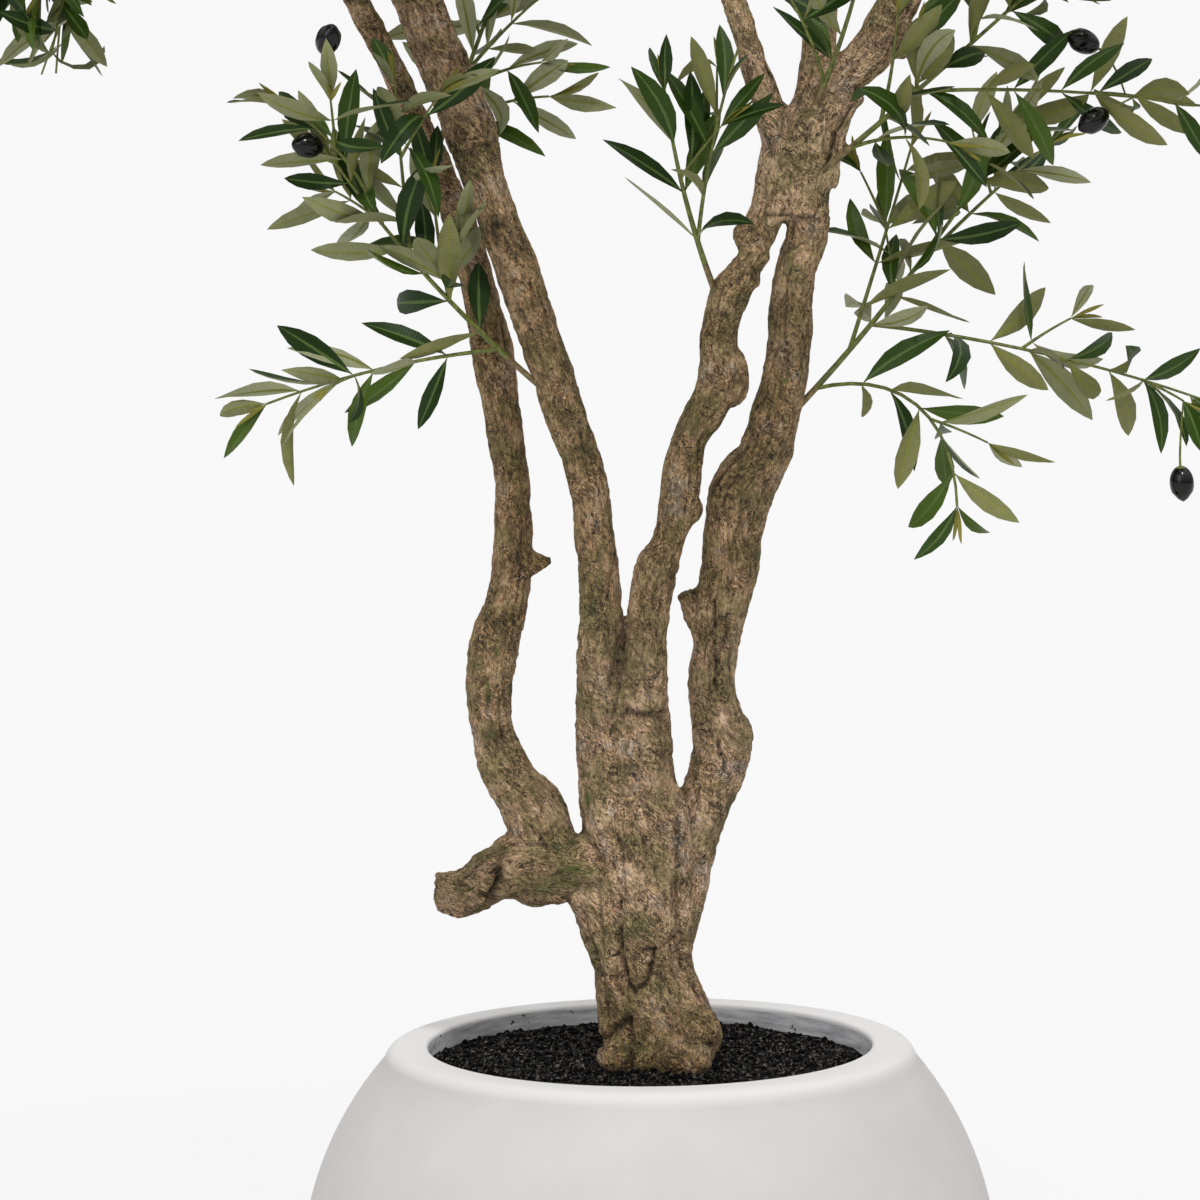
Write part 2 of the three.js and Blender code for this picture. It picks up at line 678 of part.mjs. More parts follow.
function leavesAlong(path, first, mass, random, tally) {
  const pieces = [];
  const count = Math.max(1, Math.round((path.getLength() * (1 - first)) / LEAF_SPACING));
  for (let i = 0; i <= count; i++) {
    const share = Math.min(first + ((1 - first) * i) / count, LAST_LEAF_AT);
    const root = path.getPointAt(share);
    const spin = i * GOLDEN_ANGLE + random() * 50;
    const leaf = fittingLeaf(root, path.getTangentAt(share), spin, i === count, mass, random);
    if (leaf) {
      pieces.push(leaf);
      tally.leaves++;
      if (tally.leaves % FRUIT_EVERY === 5) {
        pieces.push(...fruitOn(root, random, (point) => inSpace(mass, point)));
      }
    }
  }
  return pieces;
}

// A straight twig off the stem of a mass of the crown, as long as its space allows, or null.
function crownTwig(mass, share, spin, angle) {
  const start = mass.stem.getPointAt(share);
  const out = offTwig(mass.stem.getTangentAt(share), spin, angle);
  for (let length = mass.reach * LONGEST_TWIG; length > 2 * LEAF_SPACING; length *= TWIG_SHORTER_BY) {
    const twig = new THREE.LineCurve3(start, start.clone().addScaledVector(out, length));
    if (inSpace(mass, twig.v2) && clearOfWood(twigSolid(twig, twigRadius(share), TIP_RADIUS, 1))) {
      return twig;
    }
  }
  return null;
}

function foliage(mass, seed, tally) {
  const random = series(seed);
  const turns = series(seed + 100);
  const stem = twigSolid(mass.stem, STEM_RADIUS, STEM_TIP_RADIUS, STEM_STEPS);
  const pieces = [largest(stem.subtract(allWood)), ...leavesAlong(mass.stem, 0.3, mass, random, tally)];
  mass.branches.forEach((shoot, i) => {
    pieces.push(twigSolid(shoot, twigRadius(mass.shoots[i][0]), TIP_RADIUS, SHOOT_STEPS));
    pieces.push(...leavesAlong(shoot, 0.25, mass, random, tally));
  });
  for (let i = 0; !mass.shoots && i < CROWN_TWIGS; i++) {
    const share = THREE.MathUtils.lerp(FIRST_TWIG_AT, LAST_TWIG_AT, i / (CROWN_TWIGS - 1));
    const angle = TWIG_ANGLE + (turns() - 0.5) * TWIG_ANGLE_SPREAD;
    const twig = crownTwig(mass, share, i * GOLDEN_ANGLE + seed * 40, angle);
    if (twig) {
      pieces.push(twigSolid(twig, twigRadius(share), TIP_RADIUS, 1));
      pieces.push(...leavesAlong(twig, 0.3, mass, random, tally));
    }
  }
  return largest(Manifold.union(pieces));
}

const tally = { leaves: 0 };
Object.entries(MASSES).forEach(([name, mass], i) => add(name, foliage(mass, i + 1, tally), LEAVES));

export default tree;
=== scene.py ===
# %% [markdown]
# # A potted artificial olive tree
#
# The real thing is made in three ways. The wood is polyurethane foam, moulded on real olive stems and
# painted. The leaves are printed polyester on wire twigs coated with plastic, and the olives are
# lacquered foam. The planter is a mix of clay and glass fibre, pressed in a mould and painted.
#
# This lesson builds the tree over a frame of plain solids. The frame gives every piece its place, so it is
# loaded first and never moved. Lengths are in millimetres until a mesh is made, because the tree was
# measured in them, and Blender's own unit is the metre.

# %% Load the frame
import math
from collections import namedtuple

import bpy
import numpy as np
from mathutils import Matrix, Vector, noise
from mathutils.bvhtree import BVHTree


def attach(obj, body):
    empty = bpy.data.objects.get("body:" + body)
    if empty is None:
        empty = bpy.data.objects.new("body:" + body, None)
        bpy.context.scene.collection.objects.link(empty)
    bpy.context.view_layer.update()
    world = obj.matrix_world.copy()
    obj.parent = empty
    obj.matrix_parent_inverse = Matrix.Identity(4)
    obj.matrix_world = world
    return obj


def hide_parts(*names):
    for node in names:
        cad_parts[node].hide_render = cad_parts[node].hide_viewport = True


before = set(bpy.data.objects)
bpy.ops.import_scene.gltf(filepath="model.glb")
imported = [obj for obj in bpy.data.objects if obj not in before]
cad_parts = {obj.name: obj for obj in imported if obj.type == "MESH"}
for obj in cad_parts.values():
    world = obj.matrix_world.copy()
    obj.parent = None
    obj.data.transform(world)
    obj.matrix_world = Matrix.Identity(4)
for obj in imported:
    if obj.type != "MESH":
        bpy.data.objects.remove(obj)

MM = 0.001
bpy.ops.object.select_all(action="DESELECT")
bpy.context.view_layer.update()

# %% [markdown]
# ## Camera
#
# The photo was taken from 4 m away with a long lens, a little above the planter's rim and tilted 5.6 degrees
# down. The rim's ellipse gives that tilt: the flatter it looks, the lower the camera was.

# %% Place the camera
CAMERA_PLACE = (-41.7, -4000, 1160)
CAMERA_TILT = 5.56  # degrees below the horizon
LENS = 145.8
SENSOR_WIDTH = 36

bpy.ops.object.camera_add(
    location=[x * MM for x in CAMERA_PLACE], rotation=(math.radians(90 - CAMERA_TILT), 0, 0)
)
camera = bpy.context.object
camera.data.lens = LENS
camera.data.sensor_width = SENSOR_WIDTH
bpy.context.scene.camera = camera
print("camera:", LENS, "mm lens at", CAMERA_PLACE)

# %% [markdown]
# ## Studio
#
# A product photo is lit by large soft lamps and by a white room. Two wide suns stand for the lamps and the
# world for the room, whose ceiling throws back the most light. The camera sees the world as one even tone, as
# a lit backdrop behind a set is. The floor is plain and pale.

# %% Light the studio
BACKDROP = 0.939
HORIZON_LIGHT = 0.25
CEILING_LIGHT = 1.55


def linear(colour):
    """An sRGB hex colour as the linear RGBA that a shader takes."""
    parts = [int(colour[i : i + 2], 16) / 255 for i in (0, 2, 4)]
    return [p / 12.92 if p <= 0.04045 else ((p + 0.055) / 1.055) ** 2.4 for p in parts] + [1.0]


def in_use(sockets, name=None):
    """The socket with this number, or the first one in use, with this name where one is given."""
    if isinstance(name, int):
        return sockets[name]
    return next(s for s in sockets if s.enabled and name in (None, s.name))


def connect(tree, node, links):
    """Links each named input of a node from another node's first output, or from (node, output name)."""
    for name, source in links.items():
        maker, output = source if isinstance(source, tuple) else (source, None)
        tree.links.new(in_use(maker.outputs, output), in_use(node.inputs, name))


def add_node(tree, kind, settings=None, links=None):
    """A new node. A setting is a property, an input's value or a ramp's stops."""
    made = tree.nodes.new("ShaderNode" + kind)
    for name, value in (settings or {}).items():
        if name == "stops":
            for i, (place, colour) in enumerate(value):
                ramp = made.color_ramp.elements
                stop = ramp[i] if i < 2 else ramp.new(place)
                stop.position, stop.color = place, linear(colour)
        elif isinstance(name, str) and hasattr(made, name):
            setattr(made, name, value)
        else:
            in_use(made.inputs, name).default_value = value
    connect(tree, made, links or {})
    return made


def sun(energy, softness, bearing, rise):
    """A sun that shines from a bearing, counted from behind the camera towards its right, and a rise."""
    turn = (math.radians(90 - rise), 0, math.radians(bearing))
    bpy.ops.object.light_add(type="SUN", rotation=turn)
    lamp = bpy.context.object.data
    lamp.energy, lamp.angle = energy, math.radians(softness)


sun(energy=1.1, softness=8, bearing=12, rise=52)
sun(energy=0.5, softness=36, bearing=-30, rise=22)

world = bpy.data.worlds.new("studio")
bpy.context.scene.world = world
world.use_nodes = True
tree = world.node_tree
tree.nodes.clear()
way = (add_node(tree, "SeparateXYZ", {}, {"Vector": (add_node(tree, "TexCoord"), "Generated")}), "Z")
room_light = add_node(tree, "MapRange", {"To Min": HORIZON_LIGHT, "To Max": CEILING_LIGHT}, {"Value": way})
room = add_node(tree, "Background", {"Color": (1, 1, 1, 1)}, {"Strength": room_light})
backdrop = add_node(tree, "Background", {"Color": (1, 1, 1, 1), "Strength": BACKDROP})
seen = add_node(tree, "LightPath")
chosen = add_node(tree, "MixShader", {}, {"Fac": (seen, "Is Camera Ray"), 1: room, 2: backdrop})
add_node(tree, "OutputWorld", {}, {"Surface": chosen})
bpy.context.scene.view_settings.view_transform = "Standard"
print("nodes of the room's light:", len(tree.nodes))

# %% [markdown]
# The floor is one wide disc, so that its edge is lost in the backdrop from every side. It is a light table,
# as is used for cut-outs: a matte sheet lit from below, which keeps the shadows on it faint.

# %% Lay the floor
FLOOR_RADIUS = 60000
TABLE_GLOW = 0.842


def new_material(name, **settings):
    """A material with a Principled BSDF, its settings given by their names with _ for a space."""
    material = bpy.data.materials.new(name)
    material.use_nodes = True
    shader = material.node_tree.nodes["Principled BSDF"]
    for setting, value in settings.items():
        shader.inputs[setting.replace("_", " ")].default_value = value
    return material


def shader_of(material):
    return material.node_tree.nodes["Principled BSDF"]


bpy.ops.mesh.primitive_circle_add(vertices=96, radius=FLOOR_RADIUS * MM, fill_type="NGON")
floor = bpy.context.object
floor.name = "floor"
floor.data.materials.append(new_material(
    "matte_light_table", Base_Color=linear("4A4A4A"), Roughness=0.9, Specular_IOR_Level=0.0,
    Emission_Color=(1, 1, 1, 1), Emission_Strength=TABLE_GLOW,
))
print("floor:", 2 * FLOOR_RADIUS * MM, "m across")

# %% [markdown]
# ## Planter
#
# The planter is turned in shape: every level cut through it is a circle. So its profile is drawn once, point
# after point from the middle of the foot up the outside, over the rim and down the inside, and spun round.
# Above the widest ring and below it the outside follows an ellipse. The corners are rounded because a wet mix
# of clay and fibre doesn't fill a sharp one.

# %% Measure the planter
BOWL_HEIGHT = 400
BOWL_RADIUS = 292
WIDEST_AT = 200
FOOT_RADIUS = 165
SHOULDER_SPAN = 289
SHOULDER_DROP = 12
MOUTH_RADIUS = 185
RIM_WIDTH = 31
RIM_ROUND = 10
LIP_ROUND = 4
LIP_DEPTH = 30
WALL = 22
FLOOR_THICKNESS = 24
SOIL_TOP = BOWL_HEIGHT - 18
GAP = 0.3
SPIN_STEPS = 144
RIM_SLOPE = 0.01
FOOT_ROUND = 5
OUTSIDE_RINGS = 34
INSIDE_RINGS = 22
INSIDE_TOP = 330
MERGE_WITHIN = 0.01
# Heights between which the rim's top gets its painted highlight
RIM_HIGHLIGHT_FROM, RIM_HIGHLIGHT_TO = 388, 398
print("planter:", 2 * BOWL_RADIUS, "mm wide,", BOWL_HEIGHT, "mm high")


def bowl_radius(height):
    """The planter's outside radius at a height."""
    lower_span = WIDEST_AT / math.sqrt(1 - (FOOT_RADIUS / BOWL_RADIUS) ** 2)
    span = SHOULDER_SPAN if height > WIDEST_AT else lower_span
    return BOWL_RADIUS * math.sqrt(1 - ((height - WIDEST_AT) / span) ** 2)


def rounded(start, corner, end, count=6):
    """Points of a round corner from start to end."""
    shares = [i / count for i in range(count + 1)]
    start, corner, end = np.array(start), np.array(corner), np.array(end)
    return [tuple(start * (1 - t) ** 2 + corner * 2 * t * (1 - t) + end * t**2) for t in shares]


# %% [markdown]
# To spin a profile, a plane is merged to one point, and the point is extruded along the profile. The spin
# leaves double points on the axis and at its seam. They are merged before the normals are worked out.

# %% Spin the planter


def in_edit_mode(*steps):
    """Selects all of the active piece in edit mode, and runs each operator there with its settings."""
    bpy.ops.object.mode_set(mode="EDIT")
    bpy.ops.mesh.select_all(action="SELECT")
    for operator, settings in steps:
        operator(**settings)
    bpy.ops.object.mode_set(mode="OBJECT")


def spun(profile):
    """A closed solid: a profile of (radius, height) that starts and ends on the axis, spun round it."""
    bpy.ops.mesh.primitive_plane_add(size=MM)
    bpy.ops.object.mode_set(mode="EDIT")
    bpy.ops.mesh.merge(type="CENTER")
    bpy.ops.transform.translate(value=(profile[0][0] * MM, 0, profile[0][1] * MM))
    for (r0, z0), (r1, z1) in zip(profile, profile[1:]):
        step = ((r1 - r0) * MM, 0, (z1 - z0) * MM)
        bpy.ops.mesh.extrude_region_move(TRANSFORM_OT_translate={"value": step})
    bpy.ops.object.mode_set(mode="OBJECT")
    round_axis = {"steps": SPIN_STEPS, "angle": math.tau, "center": (0, 0, 0), "axis": (0, 0, 1)}
    in_edit_mode((bpy.ops.mesh.spin, round_axis))
    in_edit_mode(
        (bpy.ops.mesh.remove_doubles, {"threshold": MERGE_WITHIN * MM}),
        (bpy.ops.mesh.normals_make_consistent, {"inside": False}),
    )
    bpy.ops.object.transform_apply(location=True, rotation=True, scale=True)
    return bpy.context.object


def select_only(*pieces):
    """Selects these pieces and nothing else, and makes the first one active."""
    bpy.ops.object.select_all(action="DESELECT")
    for piece in pieces:
        piece.select_set(True)
    bpy.context.view_layer.objects.active = pieces[0]


def finish_piece(piece, name, replaced, materials, sharp_from=40):
    """Names a finished piece, smooths its shading up to an angle, and ties it to the frame."""
    piece.name = name
    for material in materials:
        piece.data.materials.append(material)
    select_only(piece)
    bpy.ops.object.shade_smooth_by_angle(angle=math.radians(sharp_from))
    piece.select_set(False)
    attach(piece, "root")
    if replaced:
        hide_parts(*replaced)
    faces = sum(len(face.vertices) - 2 for face in piece.data.polygons)
    print(f"{name}: {faces} triangles")


shoulder_top = BOWL_HEIGHT - SHOULDER_DROP
rim_outside = MOUTH_RADIUS + RIM_WIDTH
outside = [(bowl_radius(h), h) for h in np.linspace(FOOT_ROUND, shoulder_top, OUTSIDE_RINGS)]
inside_heights = np.linspace(INSIDE_TOP, FLOOR_THICKNESS + FOOT_ROUND, INSIDE_RINGS)
inside = [(bowl_radius(h) - WALL, h) for h in inside_heights]
floor_corner = (bowl_radius(FLOOR_THICKNESS) - WALL, FLOOR_THICKNESS)
bowl_profile = [
    (0, 0),
    (FOOT_RADIUS * 0.6, 0),
    *rounded((FOOT_RADIUS - FOOT_ROUND, 0), (FOOT_RADIUS, 0), outside[0], 4),
    *outside[1:-1],
    *rounded(outside[-1], (rim_outside + 3, BOWL_HEIGHT), (rim_outside - RIM_ROUND, BOWL_HEIGHT), 8),
    *rounded((MOUTH_RADIUS + LIP_ROUND, BOWL_HEIGHT), (MOUTH_RADIUS, BOWL_HEIGHT),
             (MOUTH_RADIUS, BOWL_HEIGHT - LIP_ROUND), 5),
    *[(MOUTH_RADIUS, BOWL_HEIGHT - LIP_ROUND - d) for d in (5, 10, 16, 22)],
    (MOUTH_RADIUS, BOWL_HEIGHT - LIP_DEPTH),
    *inside,
    (floor_corner[0] - FOOT_ROUND, FLOOR_THICKNESS),
    (0, FLOOR_THICKNESS),
]
planter = spun(bowl_profile)

# The rim of a pressed bowl is never quite level
for vertex in planter.data.vertices:
    vertex.co.z += RIM_SLOPE * vertex.co.x * max(0, vertex.co.z / MM / BOWL_HEIGHT) ** 3

# %% [markdown]
# ### Finish of the planter
#
# Fibre clay is a cement-bonded clay, so its bare surface is dull and full of small air holes. Outside it was
# rubbed down and sprayed with matte off-white paint, which leaves only a faint cloudiness. Inside the rim the
# bare grey material shows, with the streaks of the tool that drew it smooth. Both materials read Object
# coordinates, so the pattern stays put on the piece.

# %% Paint the planter


def textured(name, **settings):
    """A new material with its node tree, its shader and its Object coordinates."""
    material = new_material(name, **settings)
    tree = material.node_tree
    return material, tree, shader_of(material), (add_node(tree, "TexCoord"), "Object")


def painted_clay():
    """Matte emulsion paint on fibre clay: rough, with clouds a hand wide and a faint grain."""
    material, tree, shader, place = textured("matte_paint_on_fibre_clay", Roughness=0.72, IOR=1.5)
    cloud_link = {"Vector": place}
    clouds = add_node(tree, "TexNoise", {"Scale": 1 / (90 * MM), "Detail": 3, "Roughness": 0.6}, cloud_link)
    tones = [(0.3, "B8B5B4"), (0.5, "BCB9B8"), (0.72, "C0BDBC")]
    tint = add_node(tree, "ValToRGB", {"stops": tones}, {"Fac": clouds})
    # The rim's rounded top is painted paler: a painted highlight, as if lit more from above
    height_up = (add_node(tree, "SeparateXYZ", {}, {"Vector": place}), "Z")
    rim_span = {"From Min": RIM_HIGHLIGHT_FROM * MM, "From Max": RIM_HIGHLIGHT_TO * MM}
    on_rim = add_node(tree, "MapRange", rim_span, {"Value": height_up})
    rim_highlight_mix = {"data_type": "RGBA", "B": linear("D2D0CF")}
    painted_light_mix = add_node(tree, "Mix", rim_highlight_mix, {"Factor": on_rim, "A": tint})
    grain = add_node(tree, "TexNoise", {"Scale": 1 / (5 * MM), "Detail": 5, "Roughness": 0.55}, cloud_link)
    bump = add_node(tree, "Bump", {"Distance": 0.5 * MM, "Strength": 0.25}, {"Height": grain})
    connect(tree, shader, {"Base Color": painted_light_mix, "Normal": bump})
    return material


def bare_clay():
    """Unpainted fibre clay: grey, streaked level by the smoothing tool, with open air holes."""
    material, tree, shader, place = textured("bare_fibre_clay", Roughness=0.6, IOR=1.5)
    level = add_node(tree, "Mapping", {"Scale": (1, 1, 7)}, {"Vector": place})
    grain = {"Scale": 1 / (38 * MM), "Detail": 6, "Roughness": 0.62}
    streaks = add_node(tree, "TexNoise", grain, {"Vector": level})
    tones = [(0.34, "98999D"), (0.5, "BBBCC0"), (0.66, "D3D4D7")]
    tint = add_node(tree, "ValToRGB", {"stops": tones}, {"Fac": streaks})
    bubbles = {"Scale": 1 / (14 * MM), "Detail": 5, "Roughness": 0.75}
    bubble_noise = add_node(tree, "TexNoise", bubbles, {"Vector": place})
    hole_stops = [(0.345, "000000"), (0.37, "FFFFFF")]
    holes = add_node(tree, "ValToRGB", {"stops": hole_stops}, {"Fac": bubble_noise})
    dark_holes = {"data_type": "RGBA", "A": linear("2A2A2E")}
    holed = add_node(tree, "Mix", dark_holes, {"Factor": holes, "B": tint})
    bump = add_node(tree, "Bump", {"Distance": 1.5 * MM, "Strength": 0.8}, {"Height": holes})
    connect(tree, shader, {"Base Color": holed, "Normal": bump})
    return material


for face in planter.data.polygons:
    middle = face.center / MM
    on_inside = math.hypot(middle.x, middle.y) < bowl_radius(min(middle.z, shoulder_top)) - WALL / 2
    face.material_index = int(on_inside and FLOOR_THICKNESS - 1 < middle.z < BOWL_HEIGHT - LIP_ROUND)
finish_piece(planter, "planter_bowl", ["bowl_planter"], [painted_clay(), bare_clay()])

# %% [markdown]
# ## Soil
#
# The soil fills the bowl to just under the rim. It is spun like the bowl, with many rings on top, and the top
# is then raised and sunk by noise. Loose crumbs make the rest of its look. One crumb is modelled, a low
# icosphere, and copied a few thousand times with a size and turn of its own, all in one joined mesh.

# %% Fill the planter with soil
SOIL_HEAVE = 3.2
SOIL_RINGS = 62
CRUMBS = 5200
CRUMB_SEED = 90
CRUMB_LEAST, CRUMB_SPREAD = 0.9, 2.6
TRUNK_FOOT = (7, 0)


def series(seed):
    """The tree's seeded series of numbers from 0 to 1."""
    state = (seed * 2654435761 + 12345) % 2**32
    while True:
        state = (state * 1664525 + 1013904223) % 2**32
        yield state / 2**32


def soil_height(x, y):
    """Height of the soil's surface: heaved by noise, and level with the frame's soil at the trunk."""
    broad = noise.noise(Vector((x / 60, y / 60, 3.1)))
    fine = noise.noise(Vector((x / 17, y / 17, 8.4)))
    foot = math.exp(-(((x - TRUNK_FOOT[0]) ** 2 + y**2) / 75**2) ** 2)
    return SOIL_TOP + SOIL_HEAVE * (broad + 0.45 * fine) + 3 * foot


soil_top_radius = MOUTH_RADIUS - GAP
soil_profile = [(0, FLOOR_THICKNESS + GAP)]
soil_profile += [(r - GAP, h) for r, h in reversed(inside)]
soil_profile += [(soil_top_radius, BOWL_HEIGHT - LIP_DEPTH)]
soil_profile += [(r, SOIL_TOP) for r in np.linspace(soil_top_radius, 0, SOIL_RINGS)]
soil = spun(soil_profile)
for vertex in soil.data.vertices:
    x, y, z = vertex.co / MM
    if z > SOIL_TOP - 1:
        vertex.co.z = soil_height(x, y) * MM
print("soil:", len(soil.data.polygons), "faces")

# %% [markdown]
# A crumb is modelled once. Its points and faces are taken from it, and every copy is those points squashed,
# turned and set on the soil. One mesh of all copies is much quicker to make and to draw than 5200 objects.

# %% Strew crumbs on the soil


def taken(model, unit_length=MM):
    """The points and faces of a model that copies are made from. The model itself is removed."""
    points = np.array([v.co for v in model.data.vertices]) / unit_length
    faces = [tuple(face.vertices) for face in model.data.polygons]
    bpy.data.objects.remove(model)
    return points, faces


def joined_copies(name, clouds, faces, slots=None):
    """One mesh object of many copies, from the points of each in millimetres, and the model's faces."""
    rows = [tuple(i + k * len(cloud) for i in face) for k, cloud in enumerate(clouds) for face in faces]
    mesh = bpy.data.meshes.new(name)
    mesh.from_pydata((np.vstack(clouds) * MM).tolist(), [], rows)
    if slots is not None:
        mesh.polygons.foreach_set("material_index", np.asarray(slots, np.int32))
    made = bpy.data.objects.new(name, mesh)
    bpy.context.scene.collection.objects.link(made)
    return made


bpy.ops.mesh.primitive_ico_sphere_add(subdivisions=1, radius=1)
crumb_points, crumb_faces = taken(bpy.context.object, unit_length=1)

draw = series(CRUMB_SEED)
crumb_clouds = []
for _ in range(CRUMBS):
    reach = (soil_top_radius - 3) * math.sqrt(next(draw))
    bearing = next(draw) * math.tau
    x, y = reach * math.cos(bearing), reach * math.sin(bearing)
    size = CRUMB_LEAST + CRUMB_SPREAD * next(draw) ** 3
    squash = np.array([0.7 + 0.6 * next(draw) for axis in range(3)]) * size
    turn = next(draw) * math.tau
    c, s = math.cos(turn), math.sin(turn)
    turned_points = (crumb_points * squash) @ np.array([[c, s, 0], [-s, c, 0], [0, 0, 1]])
    crumb_clouds.append(turned_points + (x, y, soil_height(x, y) + 0.3 * size))
crumbs = joined_copies("crumbs", crumb_clouds, crumb_faces)

# %% [markdown]
# ### Finish of the soil
#
# Potting soil is nearly black when it is moist. Its paler grey-brown flecks are painted highlights, the
# glints of its crumbs. Otherwise it is fully rough, and its shape catches the light.

# %% Colour the soil


def mottled(name, tones, grains, relief, strength, **settings):
    """A material with its tones by the first noise and its relief, in millimetres, by the last one.

    A grain is (size in millimetres, detail, roughness).
    """
    material, tree, shader, place = textured(name, **settings)
    noises = []
    for size, detail, rough in grains:
        grain = {"Scale": 1 / (size * MM), "Detail": detail, "Roughness": rough}
        noises.append(add_node(tree, "TexNoise", grain, {"Vector": place}))
    tint = add_node(tree, "ValToRGB", {"stops": tones}, {"Fac": noises[0]})
    bump = add_node(tree, "Bump", {"Distance": relief * MM, "Strength": strength}, {"Height": noises[-1]})
    connect(tree, shader, {"Base Color": tint, "Normal": bump})
    return material


# Peat and bark compost: black-brown and dull, with paler flecks that are painted highlights, the crumbs'
# glints
soil_tones_and_glints = [(0.47, "010101"), (0.55, "080808"), (0.63, "665E58")]
soil_grains = [(4, 4, 0.7), (2, 3, 0.5)]
soil_looks = {"Roughness": 0.95, "Specular_IOR_Level": 0.12}
soil_finish = mottled("potting_soil", soil_tones_and_glints, soil_grains, 1.2, 0.9, **soil_looks)
finish_piece(soil, "soil_fill", ["soil"], [soil_finish], sharp_from=80)
finish_piece(crumbs, "soil_crumbs", [], [soil_finish], sharp_from=80)

# %% [markdown]
# ## Limbs
#
# Each limb is given by a few stations: where its middle is and how thick it is there. A centripetal
# Catmull-Rom curve runs through them without the loops that a plain one makes at uneven stations. They are
# nearly those of the frame's solids, so that the bark lies where they do. Some were set a few millimetres
# aside, because relief on top of a limb widens it.

# %% List the limbs

# Stations are [across, depth, height, radius]. Depth is positive away from the viewer.
STEMS = {
    "stem_back_left": [
        (-85, 4, 560, 27), (-97, 6, 594, 27), (-117, 8, 622, 22), (-131, 10, 662, 18), (-134, 12, 690, 19),
        (-129, 18, 735, 21), (-116, 28, 785, 17), (-115, 36, 860, 15), (-132, 46, 975, 17.5),
        (-150, 56, 1052, 14.5), (-182, 62, 1140, 12), (-243, 72, 1263, 10.5), (-322, 110, 1400, 9),
        (-365, 150, 1500, 7.5),
    ],
    "stem_front_left": [
        (-36, -2, 640, 24), (-43, -4, 700, 18.5), (-42, -9, 770, 17.5), (-50, -14, 860, 17),
        (-78, -17, 950, 17), (-112, -18, 1050, 18.5), (-136, -17, 1115, 18), (-153, -16, 1172, 22),
        (-190, -14, 1260, 20), (-240, -27, 1380, 15), (-300, -58, 1495, 11), (-330, -80, 1570, 8),
    ],
    "stem_middle": [
        (-10, -4, 640, 24), (-5, -5, 700, 20), (-2, -7, 755, 17.5), (5, -9, 797, 18.5), (13.5, -9, 817, 14.5),
        (22, -10, 850, 15.5), (30, -10, 900, 15.5), (54, -10, 945, 17.5), (56, -9, 992, 15),
        (66, -8, 1025, 17.5), (76, -8, 1041, 14), (84, -7, 1058, 12.5), (91, -5, 1080, 15),
        (101, -2, 1105, 16.5),
    ],
    "stem_right": [
        (8, 6, 490, 30), (31, 8, 560, 24), (46, 12, 603, 23), (60, 14, 645, 24.5), (52, 16, 690, 20.5),
        (55, 18, 735, 20), (61, 19, 772, 23), (66.5, 20, 797, 23.5), (71, 20, 838, 25.5), (76, 18, 862, 27),
        (94, 15, 888, 22), (103, 13, 915, 21), (113, 8, 970, 18.5), (118, 5, 1035, 18),
        (128, 2, 1075, 17.5), (129, 1, 1092, 18),
    ],
}
BOUGHS = {
    "bough_inner": [
        (110, -2, 1145, 18), (92, -7, 1188, 12.5), (72, -15, 1248, 10.5), (35, -50, 1370, 10),
        (10, -80, 1460, 8.5), (-5, -110, 1540, 7),
    ],
    "bough_middle": [
        (130, 2, 1160, 20), (138, 10, 1222, 15), (139, 30, 1310, 13), (120, 75, 1450, 11),
        (105, 115, 1650, 7.5),
    ],
    "bough_outer": [
        (136, 0, 1145, 21), (151, -2, 1192, 16.5), (182, -4, 1224, 18.5), (202, -6, 1260, 17.5),
        (235, -10, 1340, 16), (270, -12, 1420, 14), (345, -5, 1590, 8),
    ],
    "bough_top_left": [
        (-218, -20, 1325, 13), (-203, 8, 1400, 12), (-182, 28, 1490, 10.5), (-170, 40, 1580, 8),
    ],
    "bough_left_front": [(-238, -27, 1375, 11), (-298, -125, 1440, 10), (-340, -220, 1500, 7)],
    "bough_back_left": [(-262, 80, 1295, 8), (-262, 180, 1360, 8), (-250, 270, 1430, 6.5)],
    "bough_front": [(52, -34, 1315, 8), (60, -150, 1390, 8), (70, -250, 1450, 6.5)],
    "bough_back": [(130, 52, 1380, 10), (112, 160, 1455, 9), (90, 250, 1530, 7)],
    "bough_right_front": [(230, -10, 1330, 12), (300, -90, 1390, 10), (370, -170, 1440, 7.5)],
    "bough_right_back": [(262, -12, 1402, 11), (330, 80, 1455, 9), (380, 160, 1520, 7)],
}
SAWN_LIMB = [
    (-20, 0, 556, 30), (-62, 0, 546, 28), (-96, 0, 547, 32), (-126, -6, 544, 23), (-152, -14, 528, 20),
    (-177, -18, 527, 19),
]

# The trunk and the fork are flattened, so their stations have a radius across and one in depth.
TRUNK = [
    (7, 0, 340, 42, 36), (7, 0, 412, 49, 40), (2, 0, 438, 47, 42), (-6, 0, 468, 42, 38),
    (-6, 0, 520, 45, 39), (-10, 0, 570, 47, 38), (-20, 0, 625, 41, 33), (-23, -2, 680, 39, 26),
    (-24, -4, 712, 37, 20),
]
CROWN_FORK = [
    (112, 0, 1084, 33, 21), (116, 0, 1110, 32, 23), (121, 0, 1138, 32, 24), (126, 0, 1162, 31, 23),
    (130, 0, 1176, 22, 16),
]

# Roots that flare from the foot: (bearing, reach, radius)
ROOTS = [(215, 34, 20), (330, 22, 21), (20, 24, 20), (95, 30, 20), (150, 24, 20)]

# Along each root: (share of its reach, height over the soil, share of its radius)
ROOT_STATIONS = [(0, 70, 0.7), (0.7, 30, 0.95), (1, -22, 1.15)]

# Short broken spurs: (limb, height on the limb, bearing, rise, length, radius at the root, radius at the tip)
SPURS = [
    ("stem_back_left", 797, 350, 5, 33, 17, 4),
    ("stem_right", 722, 185, 66, 60, 13, 8.5),
    ("crown_fork", 1120, 340, 59, 76, 13, 7),
]
LIMBS = {**STEMS, **BOUGHS, "crown_fork": CROWN_FORK}

